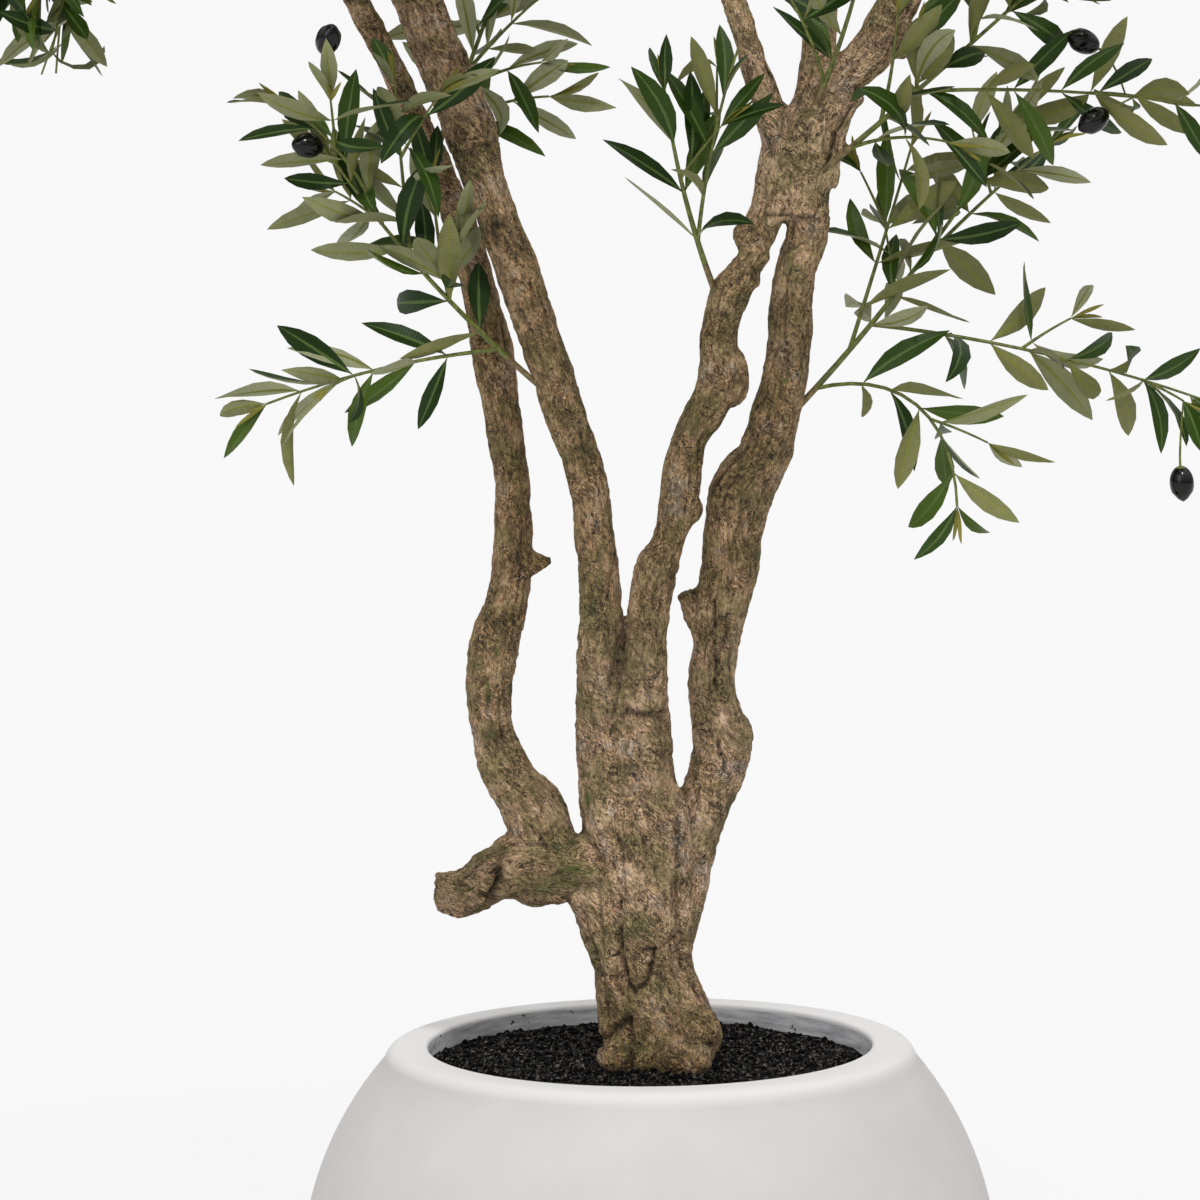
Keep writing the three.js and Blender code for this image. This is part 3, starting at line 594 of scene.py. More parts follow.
# A low swelling that carries the sawn limb's underside down into the trunk
SAWN_LIMB_FILLET = [(-58, -2, 548, 24), (-40, -4, 510, 22), (-22, -4, 462, 24)]

# A tongue of wood that stands off the fork's right side
TONGUE = [
    (143, -10, 1112, 9), (150, -13, 1139, 7), (154, -15, 1155, 6.5), (163, -17, 1174, 6), (171, -18, 1187, 7),
]
print("limbs by name:", len(LIMBS))

# %% [markdown]
# The curve is worked out here and not by Blender, because the same points are needed again: for the tubes,
# for the grain of the bark, and for the places where sprays leave the wood.

# %% Draw the limbs' lines


def unit(vector):
    return vector / np.linalg.norm(vector)


def heading(bearing, rise):
    """A direction from its bearing, counted from +X towards +Y, and its rise, both in degrees."""
    flat = math.cos(math.radians(rise))
    turn = math.radians(bearing)
    return np.array([flat * math.cos(turn), flat * math.sin(turn), math.sin(math.radians(rise))])


def smooth_line(stations, per_span=16):
    """Points and radii along a centripetal Catmull-Rom curve through the stations."""
    places = np.array([s[:3] for s in stations], float)
    widths = np.array([[s[3], s[-1]] for s in stations], float)
    ends = np.vstack([2 * places[0] - places[1], places, 2 * places[-1] - places[-2]])
    points, radii = [places[0]], [widths[0]]
    for i in range(len(places) - 1):
        a, b, c, d = ends[i : i + 4]
        before, span, after = (max(np.linalg.norm(q - p) ** 0.5, 1e-4) for p, q in ((a, b), (b, c), (c, d)))
        leave = ((b - a) / before - (c - a) / (before + span) + (c - b) / span) * span
        arrive = ((c - b) / span - (d - b) / (span + after) + (d - c) / after) * span
        for step in range(1, per_span + 1):
            t = step / per_span
            curve = b + leave * t + (3 * (c - b) - 2 * leave - arrive) * t**2
            points.append(curve + (2 * (b - c) + leave + arrive) * t**3)
            radii.append(widths[i] + (widths[i + 1] - widths[i]) * t * t * (3 - 2 * t))
    return np.array(points), np.array(radii)


def axis_point(stations, height):
    """The point on a limb's middle that is nearest to a height."""
    points, _ = smooth_line(stations)
    return points[np.argmin(abs(points[:, 2] - height))]


def spur_stations(limb, height, bearing, rise, length, thick, thin):
    start = axis_point(LIMBS[limb], height)
    end = start + heading(bearing, rise) * length
    return [(*start, thick), (*(start + end) / 2, (thick + thin) / 2), (*end, thin)]


def root_stations(bearing, reach, radius):
    x, y = TRUNK[0][:2]
    out = heading(bearing, 0) * reach
    return [
        (x + out[0] * share, y + out[1] * share, SOIL_TOP + rise, radius * thickness)
        for share, rise, thickness in ROOT_STATIONS
    ]


limb_list = [TRUNK, CROWN_FORK, SAWN_LIMB, SAWN_LIMB_FILLET, TONGUE, *STEMS.values(), *BOUGHS.values()]
limb_list += [root_stations(*root) for root in ROOTS] + [spur_stations(*spur) for spur in SPURS]
limb_lines = [smooth_line(stations) for stations in limb_list]
print("limbs:", len(limb_lines))

# %% [markdown]
# ## Wood
#
# Every limb becomes a tube: a curve with a round bevel and a radius at each point. The two flattened ones are
# a circle extruded ring by ring. Bulges and knots of the real stems are low spheres. All of it is joined and
# remeshed with voxels, which melts the pieces into one skin with soft creases, as the foam has where the
# mould's sections meet. Joining them with booleans would leave hard lines there.

# %% List the bulges
VOXEL = 2.6
TUBE_ROUND = 7  # bevel resolution, for 18 sides
FLAT_SIDES = 24
BURIED = 8

# Bulges and knots: (across, depth, height, radii across, in depth and upwards)
BULGES = [
    (33, -26, 412, 27, 27, 28), (30, 8, 407, 28, 30, 24), (-28, -34, 394, 18, 13, 13),
    (27, -40, 396, 25, 27, 21), (72, 6, 650, 14, 16, 26), (58, 8, 690, 13, 12, 22), (76, 14, 800, 12, 14, 24),
    (-84, 3, 594, 14, 14, 16), (-115, 6, 561, 18, 18, 14), (-152, -6, 534, 17, 16, 11),
    (-84, -12, 552, 26, 20, 18), (-70, -8, 534, 22, 18, 18), (79, -12, 1072, 12.5, 13, 12.5),
    (90, -14, 1054, 7, 8, 6), (82, -13, 1034, 9, 9, 7), (66, -10, 955, 16, 14, 26),
    (31, -9, 846, 12, 12, 14), (144, -8, 1122, 8, 11, 9), (205, -8, 1226, 11, 12, 12),
    (-8, -22, 640, 22, 18, 40), (-36, -20, 600, 16, 16, 36), (20, -18, 560, 14, 18, 60),
    (66, 12, 863, 13, 16, 14), (4, -26, 392, 22, 20, 16),
]
print("bulges:", len(BULGES))

# %% [markdown]
# Each of the four helpers below makes or cuts one kind of shape. The rest of the cell joins what they made
# and lets two modifiers, Remesh and Smooth, turn it into the skin.

# %% Make one skin of the limbs


def tubes(lines, bevel_resolution):
    """Round tubes with flat ends, as one mesh, each from its points and the radius at each point."""
    bpy.ops.curve.primitive_nurbs_path_add()
    curve = bpy.context.object.data
    curve.splines.clear()
    for points, radii in lines:
        line = curve.splines.new("POLY")
        line.points.add(len(points) - 1)
        line.points.foreach_set("co", np.c_[points * MM, np.ones(len(points))].ravel())
        line.points.foreach_set("radius", radii * MM)
    curve.bevel_depth = 1
    curve.bevel_resolution = bevel_resolution
    curve.use_fill_caps = True
    bpy.ops.object.convert(target="MESH")
    return bpy.context.object


def flat_tube(points, radii):
    """A tube with level rings that are wider across than in depth."""
    start = points[0] * MM
    bpy.ops.mesh.primitive_circle_add(vertices=FLAT_SIDES, radius=MM, fill_type="NGON", location=start)
    made = bpy.context.object
    bpy.ops.object.mode_set(mode="EDIT")
    bpy.ops.transform.resize(value=(*radii[0], 1))
    for i in range(1, len(points)):
        step = (points[i] - points[i - 1]) * MM
        bpy.ops.mesh.extrude_region_move(TRANSFORM_OT_translate={"value": step})
        bpy.ops.transform.resize(value=(*(radii[i] / radii[i - 1]), 1))
    bpy.ops.object.mode_set(mode="OBJECT")
    in_edit_mode((bpy.ops.mesh.normals_make_consistent, {"inside": False}))
    return made


def bulge(x, y, z, across, deep, high):
    bpy.ops.mesh.primitive_ico_sphere_add(subdivisions=3, radius=1, location=(x * MM, y * MM, z * MM))
    bpy.context.object.scale = (across * MM, deep * MM, high * MM)
    return bpy.context.object


def saw_level(piece, height, dropped):
    """Saws a piece level and drops what is above, "clear_outer", or below, "clear_inner"."""
    select_only(piece)
    level = {"plane_co": (0, 0, height * MM), "plane_no": (0, 0, 1), "use_fill": True, dropped: True}
    in_edit_mode((bpy.ops.mesh.bisect, level))


wood_parts = []
for points, radii in limb_lines:
    flattened = np.any(radii[:, 0] != radii[:, 1])
    wood_parts.append(flat_tube(points, radii) if flattened else tubes([(points, radii[:, 0])], TUBE_ROUND))
wood_parts += [bulge(*place) for place in BULGES]
wood = wood_parts[0]
select_only(*wood_parts)
bpy.ops.object.join()
bpy.ops.object.transform_apply(location=True, rotation=True, scale=True)

skin = wood.modifiers.new("skin", "REMESH")
skin.mode, skin.voxel_size = "VOXEL", VOXEL * MM
soften = wood.modifiers.new("soften", "SMOOTH")
soften.factor, soften.iterations = 0.5, 4
for modifier in ("skin", "soften"):
    bpy.ops.object.modifier_apply(modifier=modifier)

saw_level(wood, SOIL_TOP - BURIED, "clear_inner")
print("wood:", len(wood.data.polygons), "faces")

# %% [markdown]
# ## Bark
#
# Olive bark splits along the limb. A pattern that follows every bend needs coordinates that bend with it: for
# each point of the skin the nearest limb is found, and the point's place is written as distance along that
# limb and two distances across. Noise that is read there, and stretched along the limb, gives fissures that
# run up each stem. The result is stored on the mesh twice: as relief, and as two attributes for the paint.

# %% Measure each point along its limb
SAMPLE_STEP = 4
CHUNK = 6000  # points handled at once, so that the arrays fit in memory

# Columns of a sample row
PLACE, WAY, SIDE, OTHER_SIDE = slice(0, 3), slice(3, 6), slice(6, 9), slice(9, 12)
ALONG, THICK = 12, 13


def limb_samples(points, radii):
    """Rows along one limb: place, direction, two sides, distance along and mean radius."""
    gaps = np.linalg.norm(np.diff(points, axis=0), axis=1)
    along = np.r_[0, np.cumsum(gaps)]
    ticks = np.linspace(0, along[-1], max(4, int(along[-1] / SAMPLE_STEP)))
    places = np.c_[[np.interp(ticks, along, points[:, k]) for k in range(3)]].T
    widths = np.interp(ticks, along, radii.mean(axis=1))
    ways = np.gradient(places, axis=0)
    ways /= np.linalg.norm(ways, axis=1)[:, None]
    side = np.cross(ways[0], (0.3, 1, 0.1))
    sides = []
    for way in ways:
        side = unit(side - way * (side @ way))
        sides.append(side)
    sides = np.array(sides)
    return np.c_[places, ways, sides, np.cross(ways, sides), ticks, widths]


sample_rows = [limb_samples(*line) for line in limb_lines]

# Roots and spurs, the last in the list, count only where they stand clear of the main limbs
main_count = len(limb_lines) - len(ROOTS) - len(SPURS)
main_samples = np.vstack(sample_rows[:main_count])
for k in range(main_count, len(limb_lines)):
    apart = np.linalg.norm(sample_rows[k][:, None, PLACE] - main_samples[:, PLACE], axis=2)
    apart /= main_samples[:, THICK]
    sample_rows[k] = sample_rows[k][(apart.min(1) > 1) | (np.arange(len(apart)) == len(apart) - 1)]
samples = np.vstack(sample_rows)
starts = np.cumsum([0] + [len(rows) for rows in sample_rows[:-1]])
skin_points = np.array([v.co for v in wood.data.vertices]) / MM
skin_normals = np.array([v.normal for v in wood.data.vertices])

grain = np.zeros_like(skin_points)
calm = np.zeros(len(skin_points))
for first in range(0, len(skin_points), CHUNK):
    part = skin_points[first : first + CHUNK]
    centres = samples[:, PLACE]
    squares = (part**2).sum(1)[:, None] + (centres**2).sum(1) - 2 * part @ centres.T
    ratio = np.sqrt(np.maximum(squares, 0)) / samples[:, THICK]
    by_limb = np.sort(np.minimum.reduceat(ratio, starts, axis=1), axis=1)
    calm[first : first + CHUNK] = np.clip((by_limb[:, 1] - by_limb[:, 0]) / 0.35, 0, 1)
    row = samples[ratio.argmin(1)]
    away = part - row[:, PLACE]
    across, in_depth, along = ((away * row[:, way]).sum(1) for way in (SIDE, OTHER_SIDE, WAY))
    grain[first : first + CHUNK] = np.c_[across, in_depth, row[:, ALONG] + along]
print("samples:", len(samples), "points:", len(skin_points))

# %% [markdown]
# The relief adds up from four sizes: slow swellings, long fissures, short cracks and the crust. Each has its
# depth in millimetres. Near the line where two limbs meet the fissures fade, because their two directions
# don't agree there. A mould copies the one stem that it was taken from, so the deepest creases, which the eye
# knows the tree by, are listed one by one on top of that.

# %% List the seams and creases
SWELLING = 2.2
FISSURE = 1.9
CRACK = 1.2
CRUST = 0.8
FLAKY_BELOW = 800

# Seams between the mould's sections: (limb, height, depth)
SEAMS = [
    ("stem_front_left", 1143, 1.2), ("stem_front_left", 1011, 1.0), ("stem_back_left", 1025, 0.8),
    ("stem_right", 1088, 1.6), ("stem_middle", 797, 1.0), ("stem_front_left", 1290, 1.0),
]
SEAM_WIDTH = 2.4
SEAM_REACH = 40

# The saw's cut through the short limb at the left
SAW_PLACE = np.array([-162, -26, 533])
SAW_WAY = np.array([-0.45, -0.80, -0.40])
SAWN_LEFT_OF, SAWN_UNDER = -120, 580

# Hollows: (across, depth, height, radius, how deep)
HOLLOWS = [(-62, -2, 582, 7, 5), (-62, -4, 629, 6, 5), (-66, -30, 537, 14, 6), (68, -8, 1058, 5, 3)]

# Creases on the side that faces the viewer: (half width, depth, [(across, height), ...]). One with a negative
# depth is a ridge.
CREASES = [
    (5, 5, [(-22, 760), (-24, 729), (-27, 707), (-31, 680)]),
    (6, 5, [(26, 612), (20, 582), (21, 544), (24, 506), (27, 466)]),
    (3, 5, [(-27, 503), (-24, 479), (-19, 460), (-13, 447), (-2, 459), (3, 475), (4, 484)]),
    (2.5, 4, [(-6, 484), (8, 485), (22, 494)]),
    (4, 3, [(-34, 555), (-25, 534), (-24, 515), (-28, 489), (-28, 467), (-23, 444)]),
    (3, 3, [(-58, 515), (-46, 484), (-40, 456), (-36, 427)]),
    (3, 5, [(53, 770), (52, 739), (56, 696)]),
    (2.5, 4, [(56, 655), (58, 640), (61, 628)]),
    (2.5, 4, [(-20, 683), (-1, 679), (14, 681)]),
    (2.5, 4, [(6, 677), (16, 661)]),
    (2.5, 4, [(-3, 651), (10, 645), (24, 643)]),
    (3, 4, [(-28, 577), (-17, 558), (-6, 551), (8, 553)]),
    (3, 4, [(-46, 398), (-30, 414), (-17, 428), (-16, 412), (-14, 397), (-13, 384)]),
    (3, 3, [(22, 412), (40, 413), (52, 404)]),
    (4, 3, [(-62, 590), (-50, 572), (-32, 551)]),
    (9, 5, [(-70, 521), (-60, 528), (-48, 534)]),
    (8, 10, [(-127, 548), (-125, 538), (-129, 522)]),
    (2.5, 3, [(-181, 541), (-168, 538), (-152, 537), (-140, 531), (-133, 522)]),
    (4, 5, [(-125, 558), (-123, 545), (-130, 530), (-133, 522)]),
    (4, 4, [(-121, 664), (-119, 655)]),
    (3, 6, [(168, 1191), (160, 1176), (151, 1154), (146, 1140), (142, 1126)]),
    (3, 4, [(112, 1206), (109, 1180), (114, 1165)]),
    (3, 4, [(34, 781), (38, 768)]),
    (3, 3, [(111, 1040), (109, 1000), (112, 960)]),
    (2.4, -2.4, [(-38, 560), (-30, 543), (-22, 526), (-19, 498), (-17, 487)]),
    (2.2, -2.2, [(-24, 505), (-20, 480), (-16, 463), (-13, 453), (-5, 463), (0, 477)]),
    (2.4, -2.2, [(16, 612), (11, 582), (12, 544), (15, 506), (17, 470)]),
    (2.2, -2, [(-46, 402), (-32, 419), (-19, 434)]),
]
print("seams:", len(SEAMS), "hollows:", len(HOLLOWS), "creases:", len(CREASES))

# %% [markdown]
# Every point of the skin is moved along its normal by the sum of its reliefs. A Displace modifier could do
# that for one texture, but not for seams and creases that are given by their places.

# %% Raise the bark


def groove(value, width):
    """1 in the middle of a groove, where a noise crosses zero, to 0 at its edge."""
    return max(0.0, 1 - abs(value) / width) ** 1.5


def wave(place, size, shift=(0, 0, 0)):
    """A noise whose hills are about this many millimetres wide."""
    return noise.noise(Vector(place) / size + Vector(shift))


def bark_relief(place, fibre, quiet):
    """How far the bark stands proud at a point, and how much of that is a fissure or crack."""
    x, y, s = fibre
    swell = wave(place, 34) + 0.5 * wave(place, 15, (7, 1, 4))
    split = groove(noise.noise(Vector((x / 11, y / 11, s / 105))), 0.13)
    split *= max(0.0, min(1.0, 0.6 + 1.6 * noise.noise(Vector((x / 50, y / 50, s / 60)) + Vector((0, 9, 0)))))
    crack = groove(noise.noise(Vector((x / 5.5, y / 5.5, s / 34)) + Vector((3, 3, 3))), 0.16)
    crust = wave(place, 7) + 0.7 * wave(place, 4.2)
    crust *= 1.2 if place[2] < FLAKY_BELOW else 0.7
    cut = FISSURE * split * quiet + CRACK * crack * (0.3 + 0.7 * quiet)
    return SWELLING * swell + CRUST * crust - cut, cut


def line_distance(points, line):
    """The distance of each flat point to a line of flat points."""
    far = np.full(len(points), np.inf)
    for start, end in zip(np.array(line[:-1], float), np.array(line[1:], float)):
        way = end - start
        share = np.clip((points - start) @ way / (way @ way), 0, 1)
        far = np.minimum(far, np.linalg.norm(points - start - share[:, None] * way, axis=1))
    return far


heights = np.zeros(len(skin_points))
cuts = np.zeros(len(skin_points))
for i, (place, fibre, quiet) in enumerate(zip(skin_points, grain, calm)):
    heights[i], cuts[i] = bark_relief(place, fibre, quiet)
for name, height, depth in SEAMS:
    middle = axis_point(LIMBS[name], height)
    above = axis_point(LIMBS[name], height + 8)
    away = skin_points - middle
    level = away @ unit(above - middle)
    wobble = np.array([2.5 * wave(p, 12) for p in away])
    near = (np.linalg.norm(away, axis=1) < SEAM_REACH) * np.clip(1 - abs(level + wobble) / SEAM_WIDTH, 0, 1)
    heights -= depth * near
    # The seam's groove also gets painted shade, by its depth
    cuts += 1.6 * depth * near

for x, y, z, radius, depth in HOLLOWS:
    far = np.linalg.norm(skin_points - (x, y, z), axis=1)
    heights -= depth * np.clip(1 - (far / radius / 1.6) ** 2, 0, 1) ** 2

front = np.flatnonzero(skin_normals[:, 1] < 0.1)
across_up = skin_points[front][:, [0, 2]]
ragged = np.array([[wave(p, 9), wave(p, 9, (5, 0, 0))] for p in skin_points[front]])
for width, depth, line in CREASES:
    near = np.clip(1 - line_distance(across_up + 3 * ragged, line) / width, 0, 1) ** 1.3
    heights[front] -= depth * near
    # The crease's trough also gets painted shade, by its depth over its width
    cuts[front] += 1.4 * depth / width * near

moved = skin_points + skin_normals * heights[:, None]

# The sawn end: what stands beyond the saw's plane is brought back to it
beyond = (moved - SAW_PLACE) @ unit(SAW_WAY)
sawn = (beyond > 0) & (moved[:, 0] < SAWN_LEFT_OF) & (moved[:, 2] < SAWN_UNDER)
moved[sawn] -= beyond[sawn][:, None] * unit(SAW_WAY)
wood.data.vertices.foreach_set("co", (moved * MM).ravel())
wood.data.attributes.new("Fibre", "FLOAT_VECTOR", "POINT").data.foreach_set("vector", (grain * MM).ravel())
# The Cut attribute sets how much painted shade goes into each fissure, crack, seam and crease
wood.data.attributes.new("Cut", "FLOAT", "POINT").data.foreach_set("value", cuts)
wood.data.update()
print("relief:", round(heights.min(), 1), "to", round(heights.max(), 1), "mm")

# %% [markdown]
# ### Paint of the bark
#
# The moulded foam was painted brown, with patches of pinkish beige and grey, and washed with green. The nodes
# make it in coats: tones by broad noise, a grade by height, painted shade in the hollows of small chips and
# of grit, larger flakes with a painted shadow in the gap under each step and a painted highlight on the edge
# above it, a green wash, moss, dark hairline cracks and pits, and painted shade in the fissures, seams and
# creases. Last, painted light makes the trunk and the fork paler, to lift the shade that falls on them. So
# many noises are easiest to read and to change in tables, which a loop turns into nodes.

# %% List the coats of the bark

# Noises: (name, coordinates, grain in millimetres, detail, roughness, distortion)
BARK_NOISES = [
    ("clouds", "place", 34, 5, 0.66, 0), ("bend", "drawn_out", 5, 2, 0.5, 0),
    ("swirl", "drawn_out", 3.0, 3, 0.65, 0.3), ("strokes", "slanted", 2.6, 3, 0.6, 1.0),
    ("flakes", "slanted", 13, 4, 0.6, 1.2), ("flaky_zones", "place", 26, 2, 0.5, 0),
    ("grit", "drawn_out", 1.8, 2, 0.6, 0), ("wash", "place", 46, 6, 0.7, 0),
    ("moss", "drawn_out", 17, 5, 0.65, 0), ("lines", "place", 15, 3, 0.6, 0.7),
    ("line_zones", "fibre", 13, 2, 0.5, 0), ("pits", "fibre", 3.2, 2, 0.6, 0.6),
]

# Shares from 0 to 1: (name, source, its values at both ends, the shares there). Places are in metres.
BARK_SHARES = [
    ("level_up", "height_up", 0.38, 1.18, 0, 1), ("on_stems", "height_up", 0.68, 0.84, 0, 1),
    ("off_limb", "across", -0.1, -0.05, 0, 1), ("flaky", "flaky_zones", 0.38, 0.52, 0.2, 0.85),
    ("wash_limit", "height_up", 0.9, 1.1, 0.6, 0.15), ("washed", "wash", 0.5, 0.66, 0, 1),
    ("mossy", "moss", 0.63, 0.70, 0, 0.8), ("lined", "line_zones", 0.55, 0.60, 0, 0.9),
    # Painted shade: the dark put in the fissures, cracks, seams and creases grows with their Cut value
    ("pitted", "pits", 0.36, 0.30, 0, 0.9), ("shade_in_cuts", "cut", 0.4, 2.6, 0, 0.85),
]

# Tones and heights by a source's value: (name, source, stops)
BARK_TONES = [
    ("base", "clouds", [
        (0.33, "ACA470"), (0.43, "CDB585"), (0.50, "EACA9E"), (0.57, "FFD7AF"), (0.67, "EEDDCB"),
    ]),
    ("grade", "level_up", [
        (0.0, "E8E3D0"), (0.16, "FFFFFF"), (0.35, "FFFFFF"), (0.55, "EEEBE0"), (0.85, "F2F0E6"),
        (0.93, "FFFFFF"),
    ]),
    # Painted shade: darker where the chips' relief lies low, as their hollows are in shade
    ("chip_shade", "level", [(0.38, "64594A"), (0.44, "B0A591"), (0.49, "EBE2D2"), (0.54, "FFFFFF")]),
    ("terraces", "flakes", [
        (0.395, "000000"), (0.42, "898989"), (0.505, "898989"), (0.53, "BCBCBC"), (0.61, "BCBCBC"),
        (0.635, "E1E1E1"),
    ]),
    # Painted shadow in the gap under each flake's step, and a painted highlight on its raised edge
    ("flake_shade_and_highlight", "flakes", [
        (0.36, "B4AA98"), (0.385, "54483A"), (0.402, "54483A"), (0.42, "FFFFFF"), (0.45, "F0E9DE"),
        (0.48, "D2C9B8"), (0.497, "54483A"), (0.512, "54483A"), (0.53, "FFFFFF"), (0.56, "F0E9DE"),
        (0.59, "D2C9B8"), (0.603, "64584A"), (0.617, "64584A"), (0.635, "FFFFFF"),
    ]),
    # Painted shade: darker in the hollows of the grit
    ("grit_shade", "grit", [(0.36, "6A6258"), (0.46, "CBC3B8"), (0.56, "FFFFFF")]),
    # Painted light: how much paler the trunk and the fork are painted, to lift the shade that falls on them
    ("painted_light_ramp", "level_up", [
        (0.02, "707070"), (0.18, "C0C0C0"), (0.42, "B8B8B8"), (0.53, "909090"), (0.74, "888888"),
        (0.82, "B4B4B4"), (0.93, "FFFFFF"),
    ]),
]

# Coats over the base: (how it is mixed in, its share, its colour)
BARK_COATS = [
    # The chip, flake and grit coats carry painted shade in the low parts of the relief, and the flakes a
    # painted highlight
    ("MULTIPLY", 1.0, "grade"), ("MULTIPLY", 0.6, "chip_shade"), ("MULTIPLY", "flaky", "flake_shade_and_highlight"),
    ("MULTIPLY", 0.5, "grit_shade"), ("MIX", "washed", "706C40"), ("MIX", "mossy", "5C6A22"),
    # Painted shade in the cuts, where the relief lies deep
    ("MIX", "cracked", "2B2118"), ("MIX", "pitted", "2E2318"), ("MIX", "shade_in_cuts", "2E2316"),
]
print("coats of the bark:", len(BARK_COATS))

# %% [markdown]
# The nodes are made table by table. Each is kept under its name, so that a later row can read it. Only what
# doesn't fit a row is written out: the chips' cells, the hairline cracks, the height and the painted light on
# the trunk and the fork.

# %% Paint the bark


def painted_foam():
    """Painted polyurethane foam: dull, with a crust of 2 to 6 mm chip relief, and painted shade in its
    hollows.
    """
    material, tree, shader, place = textured("painted_polyurethane_bark", Roughness=0.85, IOR=1.45)
    fibre = (add_node(tree, "Attribute", {"attribute_name": "Fibre"}), "Vector")
    cut = (add_node(tree, "Attribute", {"attribute_name": "Cut"}), "Fac")
    parts = add_node(tree, "SeparateXYZ", {}, {"Vector": place})
    drawn_out = add_node(tree, "Mapping", {"Scale": (1, 1, 0.4)}, {"Vector": fibre})
    slant = {"vector_type": "TEXTURE", "Rotation": (0, math.radians(35), 0), "Scale": (2.6, 1, 0.9)}
    slanted = add_node(tree, "Mapping", slant, {"Vector": place})
    made = {
        "place": place, "across": (parts, "X"), "height_up": (parts, "Z"), "fibre": fibre, "cut": cut,
        "drawn_out": drawn_out, "slanted": slanted,
    }
    for name, source, grain_size, detail, rough, warp in BARK_NOISES:
        settings = {"Scale": 1 / (grain_size * MM), "Detail": detail, "Roughness": rough, "Distortion": warp}
        made[name] = add_node(tree, "TexNoise", settings, {"Vector": made[source]})
    for name, source, start, end, least, most in BARK_SHARES:
        settings = {"From Min": start, "From Max": end, "To Min": least, "To Max": most}
        made[name] = add_node(tree, "MapRange", settings, {"Value": made[source]})
    connect(tree, made["washed"], {"To Max": made["wash_limit"]})

    # Chips: cells with a level of their own, bent by a noise, and strokes that turn to swirls on the stems
    bending = {"data_type": "VECTOR", "Factor": 0.006}
    bent = add_node(tree, "Mix", bending, {"A": drawn_out, "B": (made["bend"], "Color")})
    cells = add_node(tree, "TexVoronoi", {"Scale": 1 / (4.4 * MM), "Randomness": 1.0}, {"Vector": bent})
    by_height = {"Factor": made["on_stems"], "A": made["strokes"], "B": made["swirl"]}
    fine_chips = add_node(tree, "Mix", {"data_type": "FLOAT"}, by_height)
    cell_share = {"data_type": "FLOAT", "Factor": 0.25}
    made["level"] = add_node(tree, "Mix", cell_share, {"A": fine_chips, "B": (cells, "Color")})

    # Hairline cracks, where a noise crosses its middle, in some places only
    on_line = add_node(tree, "Math", {"operation": "COMPARE", 1: 0.5, 2: 0.013}, {0: made["lines"]})
    made["cracked"] = add_node(tree, "Math", {"operation": "MULTIPLY"}, {0: on_line, 1: made["lined"]})
    for name, source, stops in BARK_TONES:
        made[name] = add_node(tree, "ValToRGB", {"stops": stops}, {"Fac": made[source]})
    coat = made["base"]
    for blend, share, colour in BARK_COATS:
        settings, links = {"data_type": "RGBA", "blend_type": blend}, {"A": coat}
        if share in made:
            links["Factor"] = made[share]
        else:
            settings["Factor"] = share
        if colour in made:
            links["B"] = made[colour]
        else:
            settings["B"] = linear(colour)
        coat = add_node(tree, "Mix", settings, links)

    fine_height = add_node(tree, "Math", {"operation": "ADD"}, {0: made["level"], 1: made["grit"]})
    flake_height = {"operation": "MULTIPLY_ADD", 1: 0.3}
    height = add_node(tree, "Math", flake_height, {0: made["terraces"], 2: fine_height})
    bump = add_node(tree, "Bump", {"Distance": 11 * MM, "Strength": 1.0}, {"Height": height})
    # Painted light: the trunk and the fork, off the sawn limb, are painted paler to lift the shade on them
    painted_light_share = add_node(tree, "Math", {"operation": "MULTIPLY"}, {0: made["painted_light_ramp"], 1: made["off_limb"]})
    painted_light_gain = {"Value": 1.49, "Saturation": 0.92}
    painted_light_mix = add_node(tree, "HueSaturation", painted_light_gain, {"Fac": painted_light_share, "Color": coat})
    connect(tree, shader, {"Base Color": painted_light_mix, "Normal": bump})
    print("nodes of the bark's paint:", len(tree.nodes))
    return material


bark_finish = painted_foam()

# %% [markdown]
# The bark is one skin, but a finished piece should stay under 200,000 triangles. So it is sawn level through
# the boughs above the fork, and both halves get a lid there.

# %% Saw the bark in two
SAWN_AT = 1275
wood_tree = BVHTree.FromObject(wood, bpy.context.evaluated_depsgraph_get())


def off_wood(point):
    """A point's distance from the whole bark in millimetres, negative inside it."""
    place, normal, _, far = wood_tree.find_nearest(Vector(point) * MM)
    return far / MM * (1 if (Vector(point) * MM - place).dot(normal) > 0 else -1)


select_only(wood)
bpy.ops.object.duplicate()
upper_wood = bpy.context.object
saw_level(wood, SAWN_AT, "clear_outer")
saw_level(upper_wood, SAWN_AT, "clear_inner")
lower_nodes = ["trunk", "crown_fork", *STEMS, "bough_inner", "bough_middle", "bough_outer"]
finish_piece(wood, "bark_stems", lower_nodes, [bark_finish], sharp_from=75)
upper_nodes = ["stem_back_left", "stem_front_left", *BOUGHS]
finish_piece(upper_wood, "bark_boughs", upper_nodes, [bark_finish], sharp_from=75)

# %% [markdown]
# ## Where the foliage grows
#
# On the real tree the foliage comes as ready-made sprays: one coated wire with its side wires and leaves,
# stuck into a hole in the foam. The frame holds one solid for each spray. Its rule is written again here and
# carried on to finer twigs. A spray has a stem that turns evenly from one heading to another. The low sprays
# list their side shoots, because the photo shows them. The ones of the crown have six side twigs by rule.

# %% List the sprays
STEM_RADIUS = 7
TWIG_ANGLE = 52
GOLDEN_ANGLE = 137.5
CROWN_TWIGS = 6
APART = 4
SHORTEST_TWIG = 74
SHORTEST_FINE_TWIG = 36
TWIG_OFF_WOOD = 4
PATH_STEPS = 12
CROWN_CENTRE = np.array([-10, 0, 1500])
CROWN_HALF = np.array([650, 590, 600])
CROWN_LOWEST = 1290

